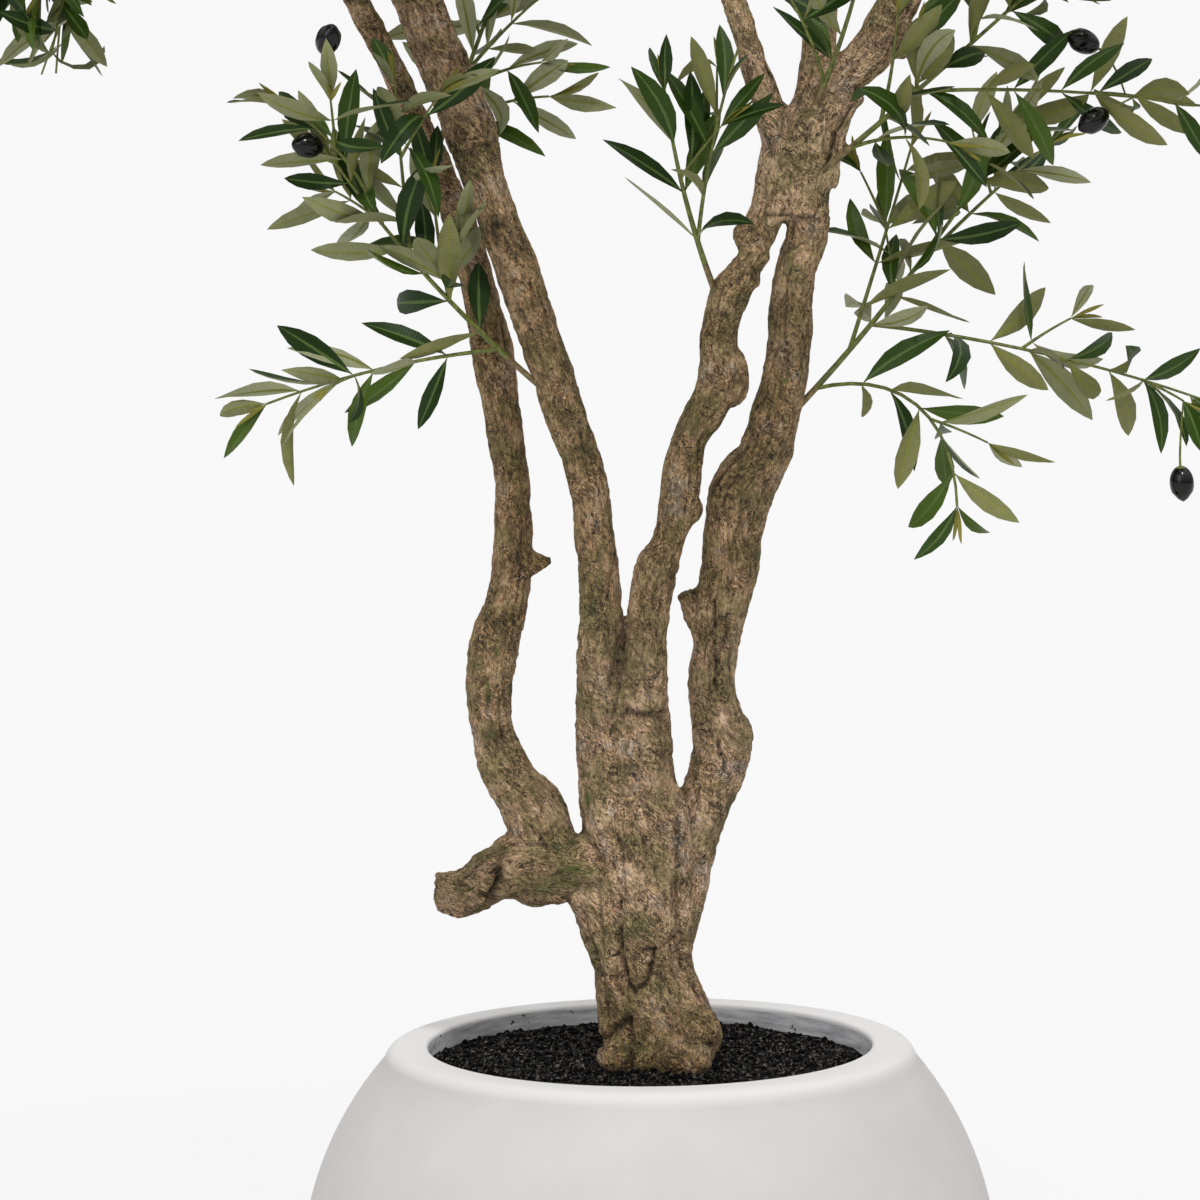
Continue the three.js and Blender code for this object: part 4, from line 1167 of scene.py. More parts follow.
# Its root is (limb, height, bearing), or the limb's tip. A heading is (bearing, rise), here at both ends,
# and a shoot is (share of the stem, heading, heading at the tip, length).
Spray = namedtuple("Spray", "root first last length reach shoots")
SPRAYS = {
    "spray_low_left": (
        ("stem_front_left", 947, 190), (192, 40), (198, 54), 262, 96,
        [(0.2, (200, -4), (193, -20), 200), (0.42, (165, 78), (150, 84), 95),
         (0.6, (236, 80), (228, 84), 140), (0.74, (210, 66), (200, 34), 125)],
    ),
    "spray_centre": (
        ("stem_middle", 1021, 190), (222, 62), (236, 76), 180, 88, [(0.28, (288, 74), (322, 68), 165)],
    ),
    "spray_low_right": (
        ("stem_right", 928, 355), (10, 46), (12, 58), 305, 92,
        [(0.08, (336, 14), (300, -86), 186), (0.22, (42, 66), (46, 66), 184),
         (0.31, (355, -6), (357, -20), 300), (0.5, (38, 38), (30, 34), 175)],
    ),
    "spray_fork_right": (
        ("crown_fork", 1120, 325), (336, 38), (6, 42), 255, 96,
        [(0.14, (322, 18), (328, -12), 95), (0.27, (306, 68), (291, 82), 90),
         (0.42, (349, 3), (355, -9), 235), (0.66, (330, 78), (10, 66), 90)],
    ),
    "spray_fork_front": (
        ("crown_fork", 1172, 285), (302, 50), (301, 71), 165, 75, [(0.18, (248, 53), (221, 50), 95)],
    ),
    "spray_behind_left": (
        ("stem_back_left", 1142, 40), (48, 60), (58, 58), 190, 92,
        [(0.4, (10, 50), (0, 40), 95), (0.12, (20, 30), (350, 2), 92), (0.3, (340, 30), (330, 5), 80)],
    ),
    "crown_left_top": (("stem_front_left",), (195, 52), (188, 30), 250, 235, []),
    "crown_top_left": (("bough_top_left",), (150, 80), (140, 86), 370, 235, []),
    "crown_left_front": (("bough_left_front",), (222, 30), (215, -8), 230, 225, []),
    "crown_left_back": (("stem_back_left",), (165, 26), (160, -12), 240, 225, []),
    "crown_left_hanging": (("stem_back_left", 1372, 185), (188, 8), (192, -58), 250, 110, []),
    "crown_back_left": (("bough_back_left",), (112, 32), (108, 8), 240, 225, []),
    "crown_front_centre": (("bough_inner",), (235, 55), (240, 20), 300, 225, []),
    "crown_front_right": (("bough_front",), (290, 20), (285, -6), 250, 225, []),
    "crown_top": (("bough_middle",), (60, 80), (70, 88), 340, 235, []),
    "crown_back": (("bough_back",), (84, 28), (80, -16), 270, 235, []),
    "crown_right_top": (("bough_outer",), (0, 52), (5, 30), 250, 225, []),
    "crown_right_front": (("bough_right_front",), (325, 16), (320, -24), 220, 225, []),
    "crown_right_back": (("bough_right_back",), (32, 16), (26, -24), 220, 225, []),
    "crown_centre": (("bough_inner", 1385, 190), (190, 40), (170, 78), 330, 200, []),
    "crown_centre_back": (("bough_middle", 1500, 195), (180, 44), (160, 70), 300, 200, []),
    "crown_top_right": (("bough_outer", 1490, 60), (60, 62), (330, 84), 400, 225, []),
    "crown_top_front": (("bough_inner", 1440, 300), (290, 66), (270, 80), 430, 225, []),
    "crown_top_back": (("bough_top_left", 1480, 90), (95, 58), (85, 76), 400, 225, []),
}
SPRAYS = {name: Spray(*row) for name, row in SPRAYS.items()}
LOWEST = {"crown_left_hanging": 1195}
print("sprays on the list:", len(SPRAYS))

# %% [markdown]
# A stem is a chain of short straight steps. The first one leaves the wood at the spray's root, and each next
# one turns a little towards the last heading, which is how a bent wire looks.

# %% Lay the stems


def spray_root(name, height=None, bearing=None):
    """Where a spray leaves its limb: the tip, or a place in the side."""
    stations = LIMBS[name]
    if height is None:
        points, _ = smooth_line(stations)
        return points[-1] + unit(points[-1] - points[-2]) * GAP
    side = heading(bearing, 0)
    station = min(stations, key=lambda s: abs(s[2] - height))
    surface = math.hypot(station[3] * side[0], station[-1] * side[1])
    return axis_point(stations, height) + side * (surface - STEM_RADIUS)


def turning_path(start, first, last, length):
    """Points of a shoot whose heading turns evenly from first to last."""
    path = [np.array(start, float)]
    first, last = heading(*first), heading(*last)
    for i in range(PATH_STEPS):
        way = unit(first + (last - first) * (i + 0.5) / PATH_STEPS)
        path.append(path[-1] + way * length / PATH_STEPS)
    return np.array(path)


def on_path(path, share):
    """The point at a share of a path, and the path's direction there."""
    place = share * (len(path) - 1)
    i = min(int(place), len(path) - 2)
    step = path[i + 1] - path[i]
    return path[i] + step * (place - i), unit(step)


stems, listed_shoots = [], []
for owner, spray in enumerate(SPRAYS.values()):
    stem = turning_path(spray_root(*spray.root), spray.first, spray.last, spray.length)
    stems.append(stem)
    for share, start, end, long in spray.shoots:
        listed_shoots.append((owner, turning_path(on_path(stem, share)[0], start, end, long)))
print("sprays:", len(stems), "listed shoots:", len(listed_shoots))

# %% [markdown]
# ## Room for each spray
#
# Two sprays never share a place: a point belongs to the spray that it lies deepest in, counted from its stems
# out to its reach. The crown's sprays also stay inside an ellipsoid, which gives the crown its rounded
# outline. All points are tested at once in arrays, because one at a time would take minutes.

# %% Share out the room
lines_of = [[stem] for stem in stems]
for owner, path in listed_shoots:
    lines_of[owner].append(path)
segment_starts = np.vstack([line[:-1] for lines in lines_of for line in lines])
segment_ways = np.vstack([np.diff(line, axis=0) for lines in lines_of for line in lines])
segment_squares = (segment_ways**2).sum(1)
first_segments = np.cumsum([0] + [PATH_STEPS * len(lines) for lines in lines_of[:-1]])
reaches = np.array([spray.reach for spray in SPRAYS.values()])
in_crown = np.array([not spray.shoots for spray in SPRAYS.values()])
lowest = np.array([LOWEST.get(name, CROWN_LOWEST) for name in SPRAYS])


def in_space(points, owners):
    """Whether each point lies in its owner's room."""
    kept = np.zeros(len(points), bool)
    for start in range(0, len(points), CHUNK):
        part, own = points[start : start + CHUNK], owners[start : start + CHUNK]
        offset = part[:, None] - segment_starts
        share = np.clip((offset * segment_ways).sum(2) / segment_squares, 0, 1)
        far = np.linalg.norm(offset - share[..., None] * segment_ways, axis=2)
        far = np.minimum.reduceat(far, first_segments, axis=1)
        outline = np.linalg.norm((part - CROWN_CENTRE) / CROWN_HALF, axis=1)[:, None]

        def depth(margin):
            level = (far + margin) / reaches
            outside = in_crown & ((outline > 1) | (part[:, 2:] < lowest + margin))
            return np.where((level > 1) | outside, np.inf, level)

        rows = np.arange(len(part))
        own_depth = depth(APART)[rows, own]
        others = depth(-APART)
        others[rows, own] = np.inf
        kept[start : start + CHUNK] = (own_depth <= 1) & (own_depth < others.min(1))
    return kept


# %% [markdown]
# ## Twigs
#
# A side twig of the crown is as long as its room allows. It starts at the full reach and gets shorter until
# its tip is in the room and the whole of it is clear of the wood. Each then carries a few finer twigs of its
# own, by the same rule at a smaller size.

# %% Fit a twig to its room
TWIG_SEED = 41
rng = np.random.default_rng(TWIG_SEED)


def off_twig(along, spin, angle):
    """Directions that stand off a twig at an angle, turned round it by spin. Both are in degrees."""
    along = np.asarray(along, float)
    level = np.cross((0, 0, 1), along)
    upright = np.linalg.norm(level, axis=-1, keepdims=True) < 0.1
    side = np.where(upright, np.cross((1, 0, 0), along), level)
    side /= np.linalg.norm(side, axis=-1, keepdims=True)
    spin, angle = np.radians(spin)[..., None], np.radians(angle)[..., None]
    turned = side * np.cos(spin) + np.cross(along, side) * np.sin(spin)
    return turned * np.sin(angle) + along * np.cos(angle)


def fitting_twig(owner, start, out, longest, shortest, bow):
    """A gently bowed twig, as long as its room allows, or None."""
    shares = np.linspace(0, 1, 6)[:, None]
    length = longest
    while length > shortest:
        path = start + out * length * shares + np.array([0, 0, bow]) * length * shares * (1 - shares)
        inside = in_space(path[-1:], np.array([owner]))[0]
        if inside and all(off_wood(point) > TWIG_OFF_WOOD for point in path[2:]):
            return path
        length *= 0.88
    return None


print("seed of the twigs and leaves:", TWIG_SEED)

# %% [markdown]
# The twigs of a spray differ in thickness and in how far from the root their leaves begin. All random draws
# come from seeded series, so that the tree is the same each time.

# %% Grow the twigs

# Kinds of twigs: (radius at the root, radius at the tip, share from which it bears leaves)
LOW_STEM = (2.9, 1.3, 0.3)
STEM_AT_TIP = (6.5, 1.6, 0.3)
STEM_ON_SIDE = (4.4, 1.6, 0.3)
SIDE_TWIG = (2.8, 1.2, 0.22)
LISTED_SHOOT = (2.0, 1.1, 0.22)
FINE_TWIG = (1.5, 0.9, 0.16)

# Every twig as its owner, its path and the values of its kind
twigs = []
for owner, (stem, spray) in enumerate(zip(stems, SPRAYS.values())):
    if not in_crown[owner]:
        twigs.append((owner, stem, *LOW_STEM))
        continue
    twigs.append((owner, stem, *(STEM_AT_TIP if len(spray.root) == 1 else STEM_ON_SIDE)))
    seed = owner + 1
    draw = series(seed + 100)
    for i in range(CROWN_TWIGS):
        share = 0.12 + 0.76 * i / (CROWN_TWIGS - 1)
        start, along = on_path(stem, share)
        angle = TWIG_ANGLE + (next(draw) - 0.5) * 20
        out = off_twig(along, i * GOLDEN_ANGLE + seed * 40, angle)
        path = fitting_twig(owner, start, out, spray.reach * 0.9, SHORTEST_TWIG, 0.12)
        if path is not None:
            twigs.append((owner, path, *SIDE_TWIG))
twigs += [(owner, path, *LISTED_SHOOT) for owner, path in listed_shoots]

FINE_TWIG_EVERY = {True: 27, False: 90}  # in the crown, and on the low sprays
for owner, path, thick, _, _ in list(twigs):
    length = np.linalg.norm(np.diff(path, axis=0), axis=1).sum()
    every = FINE_TWIG_EVERY[bool(in_crown[owner])]
    fine_count = int(length * 0.75 / every)
    for i in range(fine_count):
        share = 0.25 + 0.68 * (i + 0.5) / fine_count
        start, along = on_path(path, share)
        spin = i * GOLDEN_ANGLE + rng.uniform(0, 60)
        out = off_twig(along, spin, rng.uniform(34, 58))
        longest = rng.uniform(95, 140) if in_crown[owner] else rng.uniform(45, 75)
        fine = fitting_twig(owner, start, out, longest, SHORTEST_FINE_TWIG, 0.08)
        if fine is not None:
            twigs.append((owner, fine, *FINE_TWIG))
print("twigs:", len(twigs))

# %% [markdown]
# ## One leaf
#
# A leaf of this kind is cut from printed polyester satin and pressed over a hot mould, which gives it a fold
# along its middle. It is modelled once: a grid is drawn in to the outline, folded a little, and copied as the
# underside. The two are welded at the rim. The middle strip stays a strip of its own on both sides, so that
# the rib keeps its colour wherever the leaf goes.

# %% Model one leaf
LEAF_LENGTH = 74
LEAF_THICKNESS = 0.9
LEAF_MERGE = 0.05

# Stations along the leaf: (share of its length, half width, half width of the rib, depth of the fold)
LEAF_STATIONS = [
    (0.07, 0.9, 0.6, 0.2), (0.21, 4.3, 1.2, 1.0), (0.39, 7.8, 1.2, 1.9), (0.59, 9.0, 1.0, 1.9),
    (0.78, 7.0, 0.7, 1.3), (0.92, 3.2, 0.35, 0.5),
]
columns = len(LEAF_STATIONS) + 1

bpy.ops.mesh.primitive_grid_add(x_subdivisions=columns, y_subdivisions=3, size=MM)
leaf = bpy.context.object


def with_chosen(piece, chosen, operator, **how):
    """Runs an operator in edit mode on the vertices that a test picks by index and place."""
    for part in (piece.data.vertices, piece.data.edges, piece.data.polygons):
        part.foreach_set("select", np.zeros(len(part), bool))
    for vertex in piece.data.vertices:
        vertex.select = bool(chosen(vertex.index, vertex.co))
    bpy.ops.object.mode_set(mode="EDIT")
    operator(**how)
    bpy.ops.object.mode_set(mode="OBJECT")


column_of = [round((v.co.x / MM + 0.5) * columns) for v in leaf.data.vertices]
by_rib = [abs(v.co.y / MM) < 0.3 for v in leaf.data.vertices]
for column in range(columns + 1):
    share, wide, rib, fold = [(0, 0, 0, 0), *LEAF_STATIONS, (1, 0, 0, 0)][column]
    place = (share * LEAF_LENGTH - (column / columns - 0.5)) * MM
    with_chosen(leaf, lambda i, _: column_of[i] == column, bpy.ops.transform.translate, value=(place, 0, 0))
    if not wide:
        continue
    for on_rib, spread in ((False, 2 * wide), (True, 6 * rib)):
        in_line = [column_of[i] == column and by_rib[i] == on_rib for i in range(len(column_of))]
        with_chosen(leaf, lambda i, _: in_line[i], bpy.ops.transform.resize, value=(1, spread, 1))
    with_chosen(leaf, lambda i, _: in_line[i], bpy.ops.transform.translate, value=(0, 0, -fold * MM))
for end in (1, 0):
    at = end * LEAF_LENGTH * MM
    with_chosen(leaf, lambda _, co: abs(co.x - at) < 0.1 * MM, bpy.ops.mesh.merge, type="CENTER")

top_count = len(leaf.data.vertices)
inner = [abs(v.co.y) / MM < 1.5 and v.co.z < -0.1 * MM for v in leaf.data.vertices]
in_edit_mode((bpy.ops.mesh.duplicate, {}), (bpy.ops.mesh.flip_normals, {}))
with_chosen(
    leaf, lambda i, _: i >= top_count and inner[i - top_count],
    bpy.ops.transform.translate, value=(0, 0, -LEAF_THICKNESS * MM),
)
in_edit_mode((bpy.ops.mesh.remove_doubles, {"threshold": LEAF_MERGE * MM}))

# Kinds of faces: 0 is the upper blade, 1 the upper rib, 2 the lower blade and 3 the lower rib
leaf_kinds = np.array([
    (0 if face.normal.z > 0 else 2) + int(abs(face.center.y) < 0.1 * MM) for face in leaf.data.polygons
])
leaf_points, leaf_faces = taken(leaf)
print("leaf:", len(leaf_points), "points,", len(leaf_faces), "faces")

# %% [markdown]
# ## Leaves on every twig
#
# An olive bears its leaves in pairs, each pair turned a quarter round the twig from the last. Each leaf gets
# a bend along its length, a twist and a sideways curve, because pressed satin doesn't stay flat. A leaf that
# would leave its room or touch the wood is turned round the twig a few times, and then left out.

# %% Deal out the leaves
PAIR_SPACING = {True: 28, False: 32}  # in the crown, and on the low sprays
LEAF_TRIES = 5
TURN_PER_TRY = 360 / LEAF_TRIES
LEAF_OFF_WOOD = 2
YOUNG = 1
SPACING_SHARE = {"spray_centre": 1.35, "spray_low_left": 0.9}
spray_names = list(SPRAYS)
SLIM_SPRAY = spray_names.index("spray_centre")
SLIM_ANGLE = 0.62
LOW_LEAF_SIZE = 1.07
YOUNG_WIDTH = 0.5

nodes = []
for owner, path, _, _, first in twigs:
    length = np.linalg.norm(np.diff(path, axis=0), axis=1).sum()
    spacing = PAIR_SPACING[bool(in_crown[owner])] * SPACING_SHARE.get(spray_names[owner], 1)
    count = max(1, round(length * (1 - first) / spacing))
    quarter = rng.uniform(0, 180)
    for i in range(count):
        share = first + (1 - first) * (i + rng.uniform(-0.15, 0.15)) / count
        place, along = on_path(path, min(max(share, 0.02), 0.99))
        near_tip = i / count
        for half in (0, 180):
            spin = quarter + i * 90 + half + rng.normal(0, 14)
            angle = rng.uniform(42, 66) - 16 * near_tip
            size = rng.uniform(0.82, 1.08) * (1 - 0.22 * near_tip**3)
            nodes.append((owner, *place, *along, spin, angle, size, 0))
    place, along = on_path(path, 0.995)
    for halves, angle_span, size_span, age in (
        ((0, 180), (14, 30), (0.6, 0.8), 0), ((60, 230), (4, 12), (0.4, 0.5), YOUNG)
    ):
        for half in halves:
            angle, size = rng.uniform(*angle_span), rng.uniform(*size_span)
            nodes.append((owner, *place, *along, quarter + half, angle, size, age))
nodes = np.array(nodes)
owners = nodes[:, 0].astype(int)
roots, alongs = nodes[:, 1:4], nodes[:, 4:7]
spins, angles, sizes, ages = nodes[:, 7:].T
count = len(nodes)
low = ~in_crown[owners]
sizes = np.where(low & (ages != YOUNG), sizes * LOW_LEAF_SIZE, sizes)
upright = owners == SLIM_SPRAY
angles[upright] *= SLIM_ANGLE
widths = sizes * np.where(ages == YOUNG, YOUNG_WIDTH, rng.uniform(0.88, 1.1, count))
bends = np.where(ages == YOUNG, 0.15, rng.gamma(2.6, 0.3, count)) * rng.choice([1, 1, 1, 1, -0.6], count)
twists = rng.normal(0, 0.55, count)
sickles = rng.normal(0, 0.14, count)
faces_up = 0.45 * alongs + (0, 0, 0.75) + rng.normal(0, 0.33, (count, 3))

# The low sprays hang so that most blades turn a broad side to the front: its underside slightly more often
turned_away = np.where(rng.random(count) < np.where(upright, 0.25, 0.58), 0.75, -0.75)
faces_up[low] = (0.3 * alongs + (0, 0, 0.35) + rng.normal(0, 0.3, (count, 3)))[low]
faces_up[low, 1] += turned_away[low]
print("leaves dealt out:", count)

# %% [markdown]
# Five points stand for a leaf while it looks for its place: its tip and its four widest points. That is
# enough to keep it in its room and off the wood, without a test of all its points.

# %% Place the leaves


def leaf_cloud(chosen, ways, points):
    """Points of the chosen leaves: the model's points twisted, bent, curved and set on the twig."""
    share = points[:, 0] / LEAF_LENGTH
    long = (sizes[chosen] * LEAF_LENGTH)[:, None]
    wide = widths[chosen][:, None]
    twist = twists[chosen][:, None] * share
    across = points[:, 1] * wide * np.cos(twist) - points[:, 2] * np.sin(twist)
    up = points[:, 1] * wide * np.sin(twist) + points[:, 2] * np.cos(twist)
    bend = np.where(abs(bends[chosen]) < 0.01, 0.01, bends[chosen])[:, None]
    turn = bend * share
    along = long * np.sin(turn) / bend + up * np.sin(turn)
    up = up * np.cos(turn) - long * (1 - np.cos(turn)) / bend
    across = across + sickles[chosen][:, None] * long * share**2
    side = np.cross(faces_up[chosen], ways)
    side /= np.linalg.norm(side, axis=1, keepdims=True)
    above = np.cross(ways, side)
    cloud = ways[:, None] * along[..., None] + side[:, None] * across[..., None]
    cloud += above[:, None] * up[..., None]
    return roots[chosen][:, None] + cloud


probe = leaf_points[[np.argmax(leaf_points[:, 0]), *np.argsort(-abs(leaf_points[:, 1]))[:4]]]
leaf_ways = np.zeros((count, 3))
waiting = np.arange(count)
for attempt in range(LEAF_TRIES):
    ways = off_twig(alongs[waiting], spins[waiting] + attempt * TURN_PER_TRY, angles[waiting])
    ways[:, 2] -= 0.1
    ways /= np.linalg.norm(ways, axis=1, keepdims=True)
    cloud = leaf_cloud(waiting, ways, probe)
    fits = in_space(cloud.reshape(-1, 3), np.repeat(owners[waiting], len(probe)))
    fits = fits.reshape(-1, len(probe)).all(1)
    for i in np.flatnonzero(fits):
        fits[i] = all(off_wood(point) > LEAF_OFF_WOOD for point in cloud[i])
    leaf_ways[waiting[fits]] = ways[fits]
    waiting = waiting[~fits]
placed = np.setdiff1d(np.arange(count), waiting)
print("leaves:", len(placed), "left out:", len(waiting))

# %% [markdown]
# ### Colours of the leaves
#
# The print is deep green above and grey-green below, with an olive rib on both sides. The sprays come from
# several print runs, so each leaf gets one of a few plain tints, dealt out by spray and leaf. Over its tint
# each blade has fine side veins, drawn on its own UV map, and a slight mottling of the print.

# %% Colour the leaves

# Finishes of a leaf's faces: (name, colour, roughness)
LEAF_FINISHES = [
    ("leaf_satin_deep_green", "203A07", 0.42), ("leaf_satin_green", "304B0A", 0.42),
    ("leaf_satin_fresh_green", "4B6416", 0.42), ("leaf_satin_grey_green", "91946A", 0.62),
    ("leaf_satin_olive_grey", "858653", 0.62), ("leaf_satin_pale_green", "AAAD86", 0.62),
    ("leaf_rib_green", "5B7238", 0.5), ("leaf_rib_olive", "868B40", 0.5),
    ("leaf_satin_young_olive", "8F8A3A", 0.5),
]
TINTS = 3
RIB_TOP, RIB_UNDER, YOUNG_TINT = 6, 7, 8
SAME_TINT = 0.45  # share of the leaves that have the tint of their spray


def leaf_satin(name, colour, roughness):
    """Printed polyester satin: a soft gloss, thin pale veins and a slight mottling of the print."""
    material, tree, shader, place = textured(name, Roughness=roughness, IOR=1.5, Specular_IOR_Level=0.2)
    blade = add_node(tree, "UVMap", {"uv_map": "Blade"})
    bands = {"wave_type": "BANDS", "bands_direction": "Y", "Scale": 9.0, "Distortion": 1.6, "Detail": 2}
    veins = (add_node(tree, "TexWave", bands, {"Vector": blade}), "Fac")
    faint = {"From Min": 0.72, "From Max": 1.0, "To Max": 0.18}
    vein_share = add_node(tree, "MapRange", faint, {"Value": veins})
    print_spots = {"Scale": 1 / (7 * MM), "Detail": 5, "Roughness": 0.75}
    mottle = add_node(tree, "TexNoise", print_spots, {"Vector": place})
    plain = linear(colour)
    dark = [c * 0.5 for c in plain[:3]] + [1.0]
    pale = [c * 1.25 + 0.03 for c in plain[:3]] + [1.0]
    blotched = add_node(tree, "Mix", {"data_type": "RGBA", "A": dark, "B": plain}, {"Factor": mottle})
    veined = add_node(tree, "Mix", {"data_type": "RGBA", "B": pale}, {"Factor": vein_share, "A": blotched})
    bump = add_node(tree, "Bump", {"Distance": 0.25 * MM, "Strength": 0.35}, {"Height": veins})
    connect(tree, shader, {"Base Color": veined, "Normal": bump})
    return material


leaf_finishes = [leaf_satin(*finish) for finish in LEAF_FINISHES]
spray_tint = rng.integers(0, TINTS, len(SPRAYS))
top_tints, under_tints = (
    np.where(rng.random(count) < SAME_TINT, spray_tint[owners], rng.integers(0, TINTS, count))
    for side in ("top", "under")
)


def face_tints(i):
    """The slots of one leaf's faces."""
    if ages[i] == YOUNG:
        return np.full(len(leaf_kinds), YOUNG_TINT)
    return np.array([top_tints[i], RIB_TOP, under_tints[i] + TINTS, RIB_UNDER])[leaf_kinds]


# Pieces of foliage, each with the sprays that it stands for
LEAF_PIECES = {
    "leaves_low": [name for name in SPRAYS if name.startswith("spray")],
    "leaves_left": ["crown_left_top", "crown_top_left", "crown_left_front", "crown_left_back",
                    "crown_left_hanging", "crown_back_left"],
    "leaves_right": ["crown_right_top", "crown_right_front", "crown_right_back", "crown_top_right",
                     "crown_front_right"],
    "leaves_middle": ["crown_centre", "crown_centre_back", "crown_front_centre", "crown_back"],
    "leaves_top": ["crown_top", "crown_top_front", "crown_top_back"],
}
for name, sprays in LEAF_PIECES.items():
    chosen = placed[np.isin(owners[placed], [spray_names.index(spray) for spray in sprays])]
    clouds = leaf_cloud(chosen, leaf_ways[chosen], leaf_points)
    piece = joined_copies(name, clouds, leaf_faces, np.concatenate([face_tints(i) for i in chosen]))
    corners = leaf_points[[i for face in leaf_faces for i in face]]
    own_uv = np.c_[corners[:, 1] / 20 + 0.5, corners[:, 0] / LEAF_LENGTH]
    blade_map = piece.data.uv_layers.new(name="Blade")
    blade_map.data.foreach_set("uv", np.tile(own_uv, (len(chosen), 1)).ravel())
    finish_piece(piece, name, sprays, leaf_finishes, sharp_from=60)

# %% [markdown]
# ## Olives
#
# An olive hangs on a thin stalk under a pair of leaves, about one to fifty leaves. It is a lacquered foam
# core: nearly black, very glossy, a little narrower at its tip, where it has a small point. A cap of green
# plastic holds it to its stalk.

# %% Shape one olive
FRUIT_LENGTH = 29
FRUIT_WIDTH = 20
STALK = 26
FRUIT_EVERY = 46
CAP_FROM = 0.88
FRUIT_OFF_WOOD = 12

# The olives that the photo shows: (spray, across and height of the middle, way that the tip points)
SEEN_FRUIT = [
    ("spray_low_left", -257, 1229, (0.3, -0.6, 0.75)), ("spray_low_left", -277, 1145, (-0.8, -0.6, 0.1)),
    ("spray_fork_right", 349, 1229, (-0.9, -0.2, 0.4)), ("spray_fork_right", 355, 1165, (-0.8, -0.3, -0.5)),
    ("spray_low_right", 434, 870, (0.1, 0, -1)),
]

bpy.ops.mesh.primitive_uv_sphere_add(segments=18, ring_count=12, radius=FRUIT_WIDTH / 2 * MM)
olive = bpy.context.object
in_edit_mode((bpy.ops.transform.resize, {"value": (1, 1, FRUIT_LENGTH / FRUIT_WIDTH)}))
lower = -FRUIT_LENGTH / 2 * MM
with_chosen(olive, lambda _, co: co.z < 0.6 * lower, bpy.ops.transform.resize, value=(0.86, 0.86, 1))
with_chosen(olive, lambda _, co: co.z < 0.99 * lower, bpy.ops.transform.translate, value=(0, 0, -0.8 * MM))
on_cap = [int(face.center.z > -CAP_FROM * lower) for face in olive.data.polygons]
olive_points, olive_faces = taken(olive)
print("olive:", len(olive_points), "points")

# %% [markdown]
# The olives of the photo are listed one by one. The others hang under every forty-sixth leaf of the crown,
# where there is room for them.

# %% Hang the olives
stalks, fruit_places = [], []


def hang_fruit(twig_point, middle, axis):
    """An olive with its middle and axis given, on a stalk that curves down to it."""
    top = middle - axis * FRUIT_LENGTH / 2
    shares = np.linspace(0, 1, 7)[:, None]
    knee = top - axis * STALK * 0.5
    path = twig_point * (1 - shares) ** 2 + knee * 2 * shares * (1 - shares) + (top + axis) * shares**2
    stalks.append(path)
    fruit_places.append((middle, axis))


for name, x, z, axis in SEEN_FRUIT:
    owner, axis = spray_names.index(name), unit(np.array(axis))
    points = np.vstack([path for o, path, *_ in twigs if o == owner])
    root_x, root_z = (x, z) - axis[[0, 2]] * (FRUIT_LENGTH / 2 + STALK)
    nearest = points[np.argmin(np.hypot(points[:, 0] - root_x, points[:, 2] - root_z))]
    hang_fruit(nearest, np.array([x, nearest[1] - 8, z]), axis)
for i in placed[FRUIT_EVERY // 2 :: FRUIT_EVERY]:
    if not in_crown[owners[i]] or ages[i] == YOUNG:
        continue
    axis = unit(np.array([*rng.uniform(-0.2, 0.2, 2), -1]))
    middle = roots[i] + axis * (STALK + FRUIT_LENGTH / 2)
    ends = np.array([middle + axis * FRUIT_LENGTH / 2, middle])
    if in_space(ends, np.full(2, owners[i])).all() and off_wood(middle) > FRUIT_OFF_WOOD:
        hang_fruit(roots[i], middle, axis)


print("olives:", len(fruit_places))

# %% [markdown]
# ### Finish of the olives and the wires
#
# A lacquer is a smooth clear coat over a dark ground, so low roughness matters more than colour. The coated
# wire is duller, with a grain of small ridges from its mould.

# %% Finish the olives


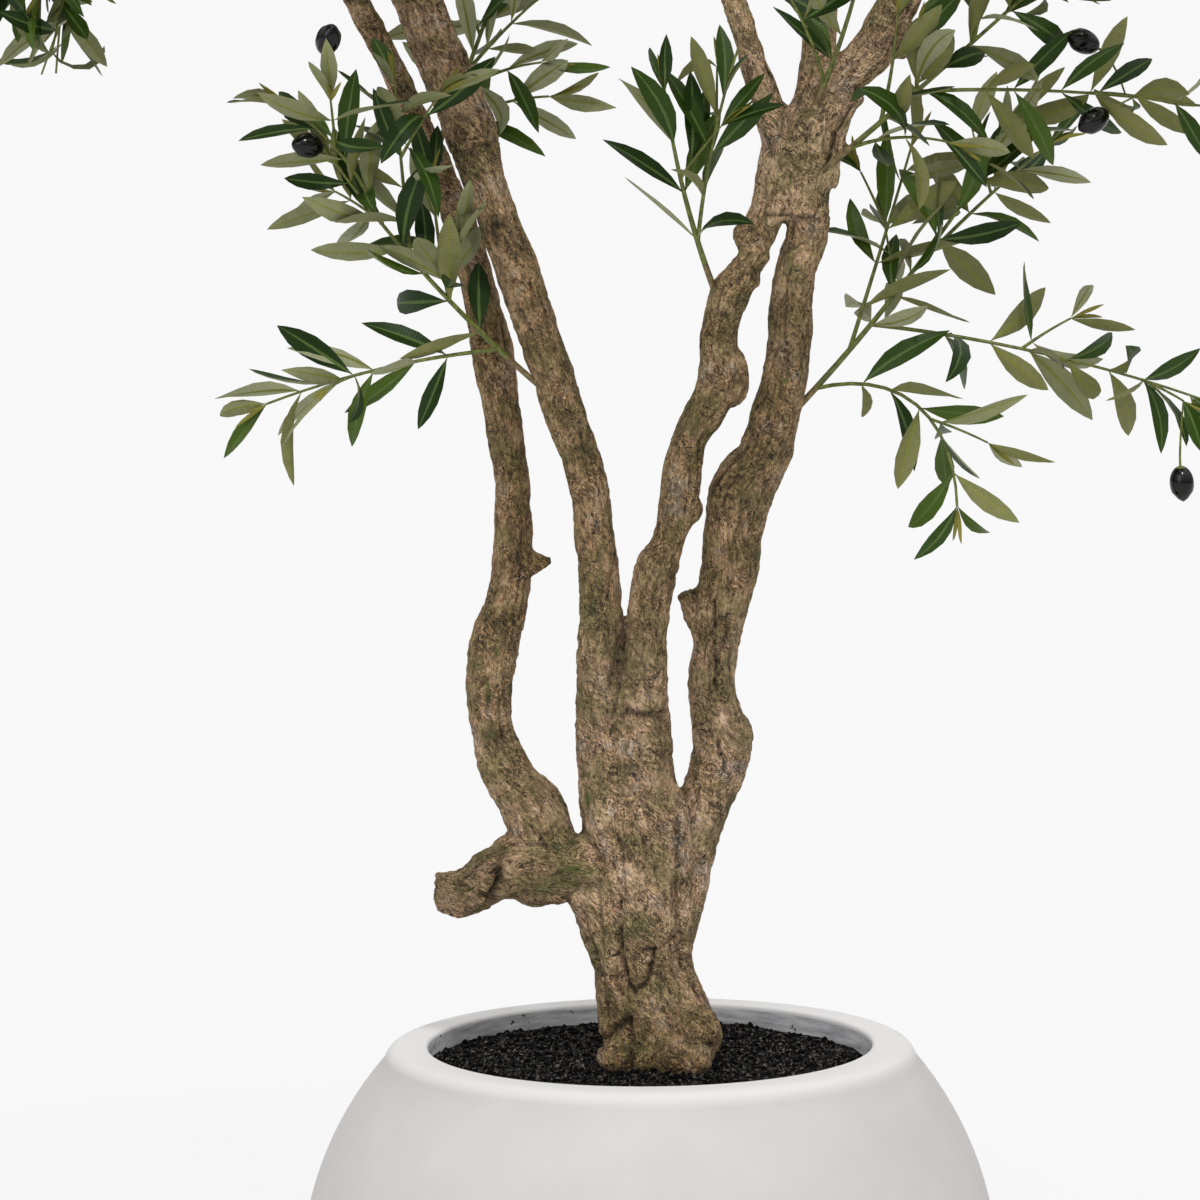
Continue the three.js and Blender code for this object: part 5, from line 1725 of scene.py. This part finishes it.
def set_on(middle, axis, points):
    """Points of an upright model set at a place along an axis, whose far end is the model's underside."""
    side = unit(np.cross(axis, (0.3, 1, 0.1)))
    return middle + points[:, :1] * side + points[:, 1:2] * np.cross(axis, side) - points[:, 2:] * axis


# Lacquered foam: a clear hard gloss over black with a breath of plum and green
lacquer = mottled(
    "lacquered_foam_olive", [(0.35, "020202"), (0.55, "060505"), (0.75, "141507")], [(11, 3, 0.5)], 0.4, 0.12,
    Roughness=0.17, IOR=1.5, Specular_IOR_Level=0.35,
)

# Plastic-coated wire: satin, moulded with small ridges
WIRE_TONES = {
    "coated_wire_olive_green": [(0.35, "4C5622"), (0.55, "6C7232"), (0.72, "868C44")],
    "coated_wire_brown": [(0.35, "5A4A30"), (0.55, "7C6A45"), (0.72, "978A5C")],
}
green_wire, brown_wire = (
    mottled(name, tones, [(5, 4, 0.6)], 0.5, 0.5, Roughness=0.5, IOR=1.46)
    for name, tones in WIRE_TONES.items()
)
clouds = [set_on(*place, olive_points) for place in fruit_places]
olives = joined_copies("olives", clouds, olive_faces, on_cap * len(clouds))
finish_piece(olives, "olives", [], [lacquer, green_wire], sharp_from=60)

# %% [markdown]
# ## Twigs as one mesh
#
# All twigs and stalks are splines of one curve, with a round bevel and a radius at each point. The curve is
# then made a mesh. The wire is brown where it leaves the bark, as it was painted together with the wood.

# %% Make the twigs
BROWN_WITHIN = 11
TAPER = 1.3
ROOTED_FROM = 2.85  # a twig with at least this radius is stuck into the wood
ROOT_DEPTH = 9
STALK_RADII = (0.8, 1.1)

wires = []
for _, path, thick, thin, _ in twigs:
    radii = thin + (thick - thin) * (1 - np.linspace(0, 1, len(path))) ** TAPER
    if thick > ROOTED_FROM:
        path = np.vstack([path[0] - unit(path[1] - path[0]) * ROOT_DEPTH, path])
        radii = np.r_[thick, radii]
    wires.append((path, radii))
wires += [(path, np.linspace(*STALK_RADII, len(path))) for path in stalks]
twig_mesh = tubes(wires, bevel_resolution=1)
bpy.ops.object.transform_apply(location=True, rotation=True, scale=True)
for face in twig_mesh.data.polygons:
    face.material_index = int(off_wood(face.center / MM) < BROWN_WITHIN)
finish_piece(twig_mesh, "twigs", [], [green_wire, brown_wire], sharp_from=60)
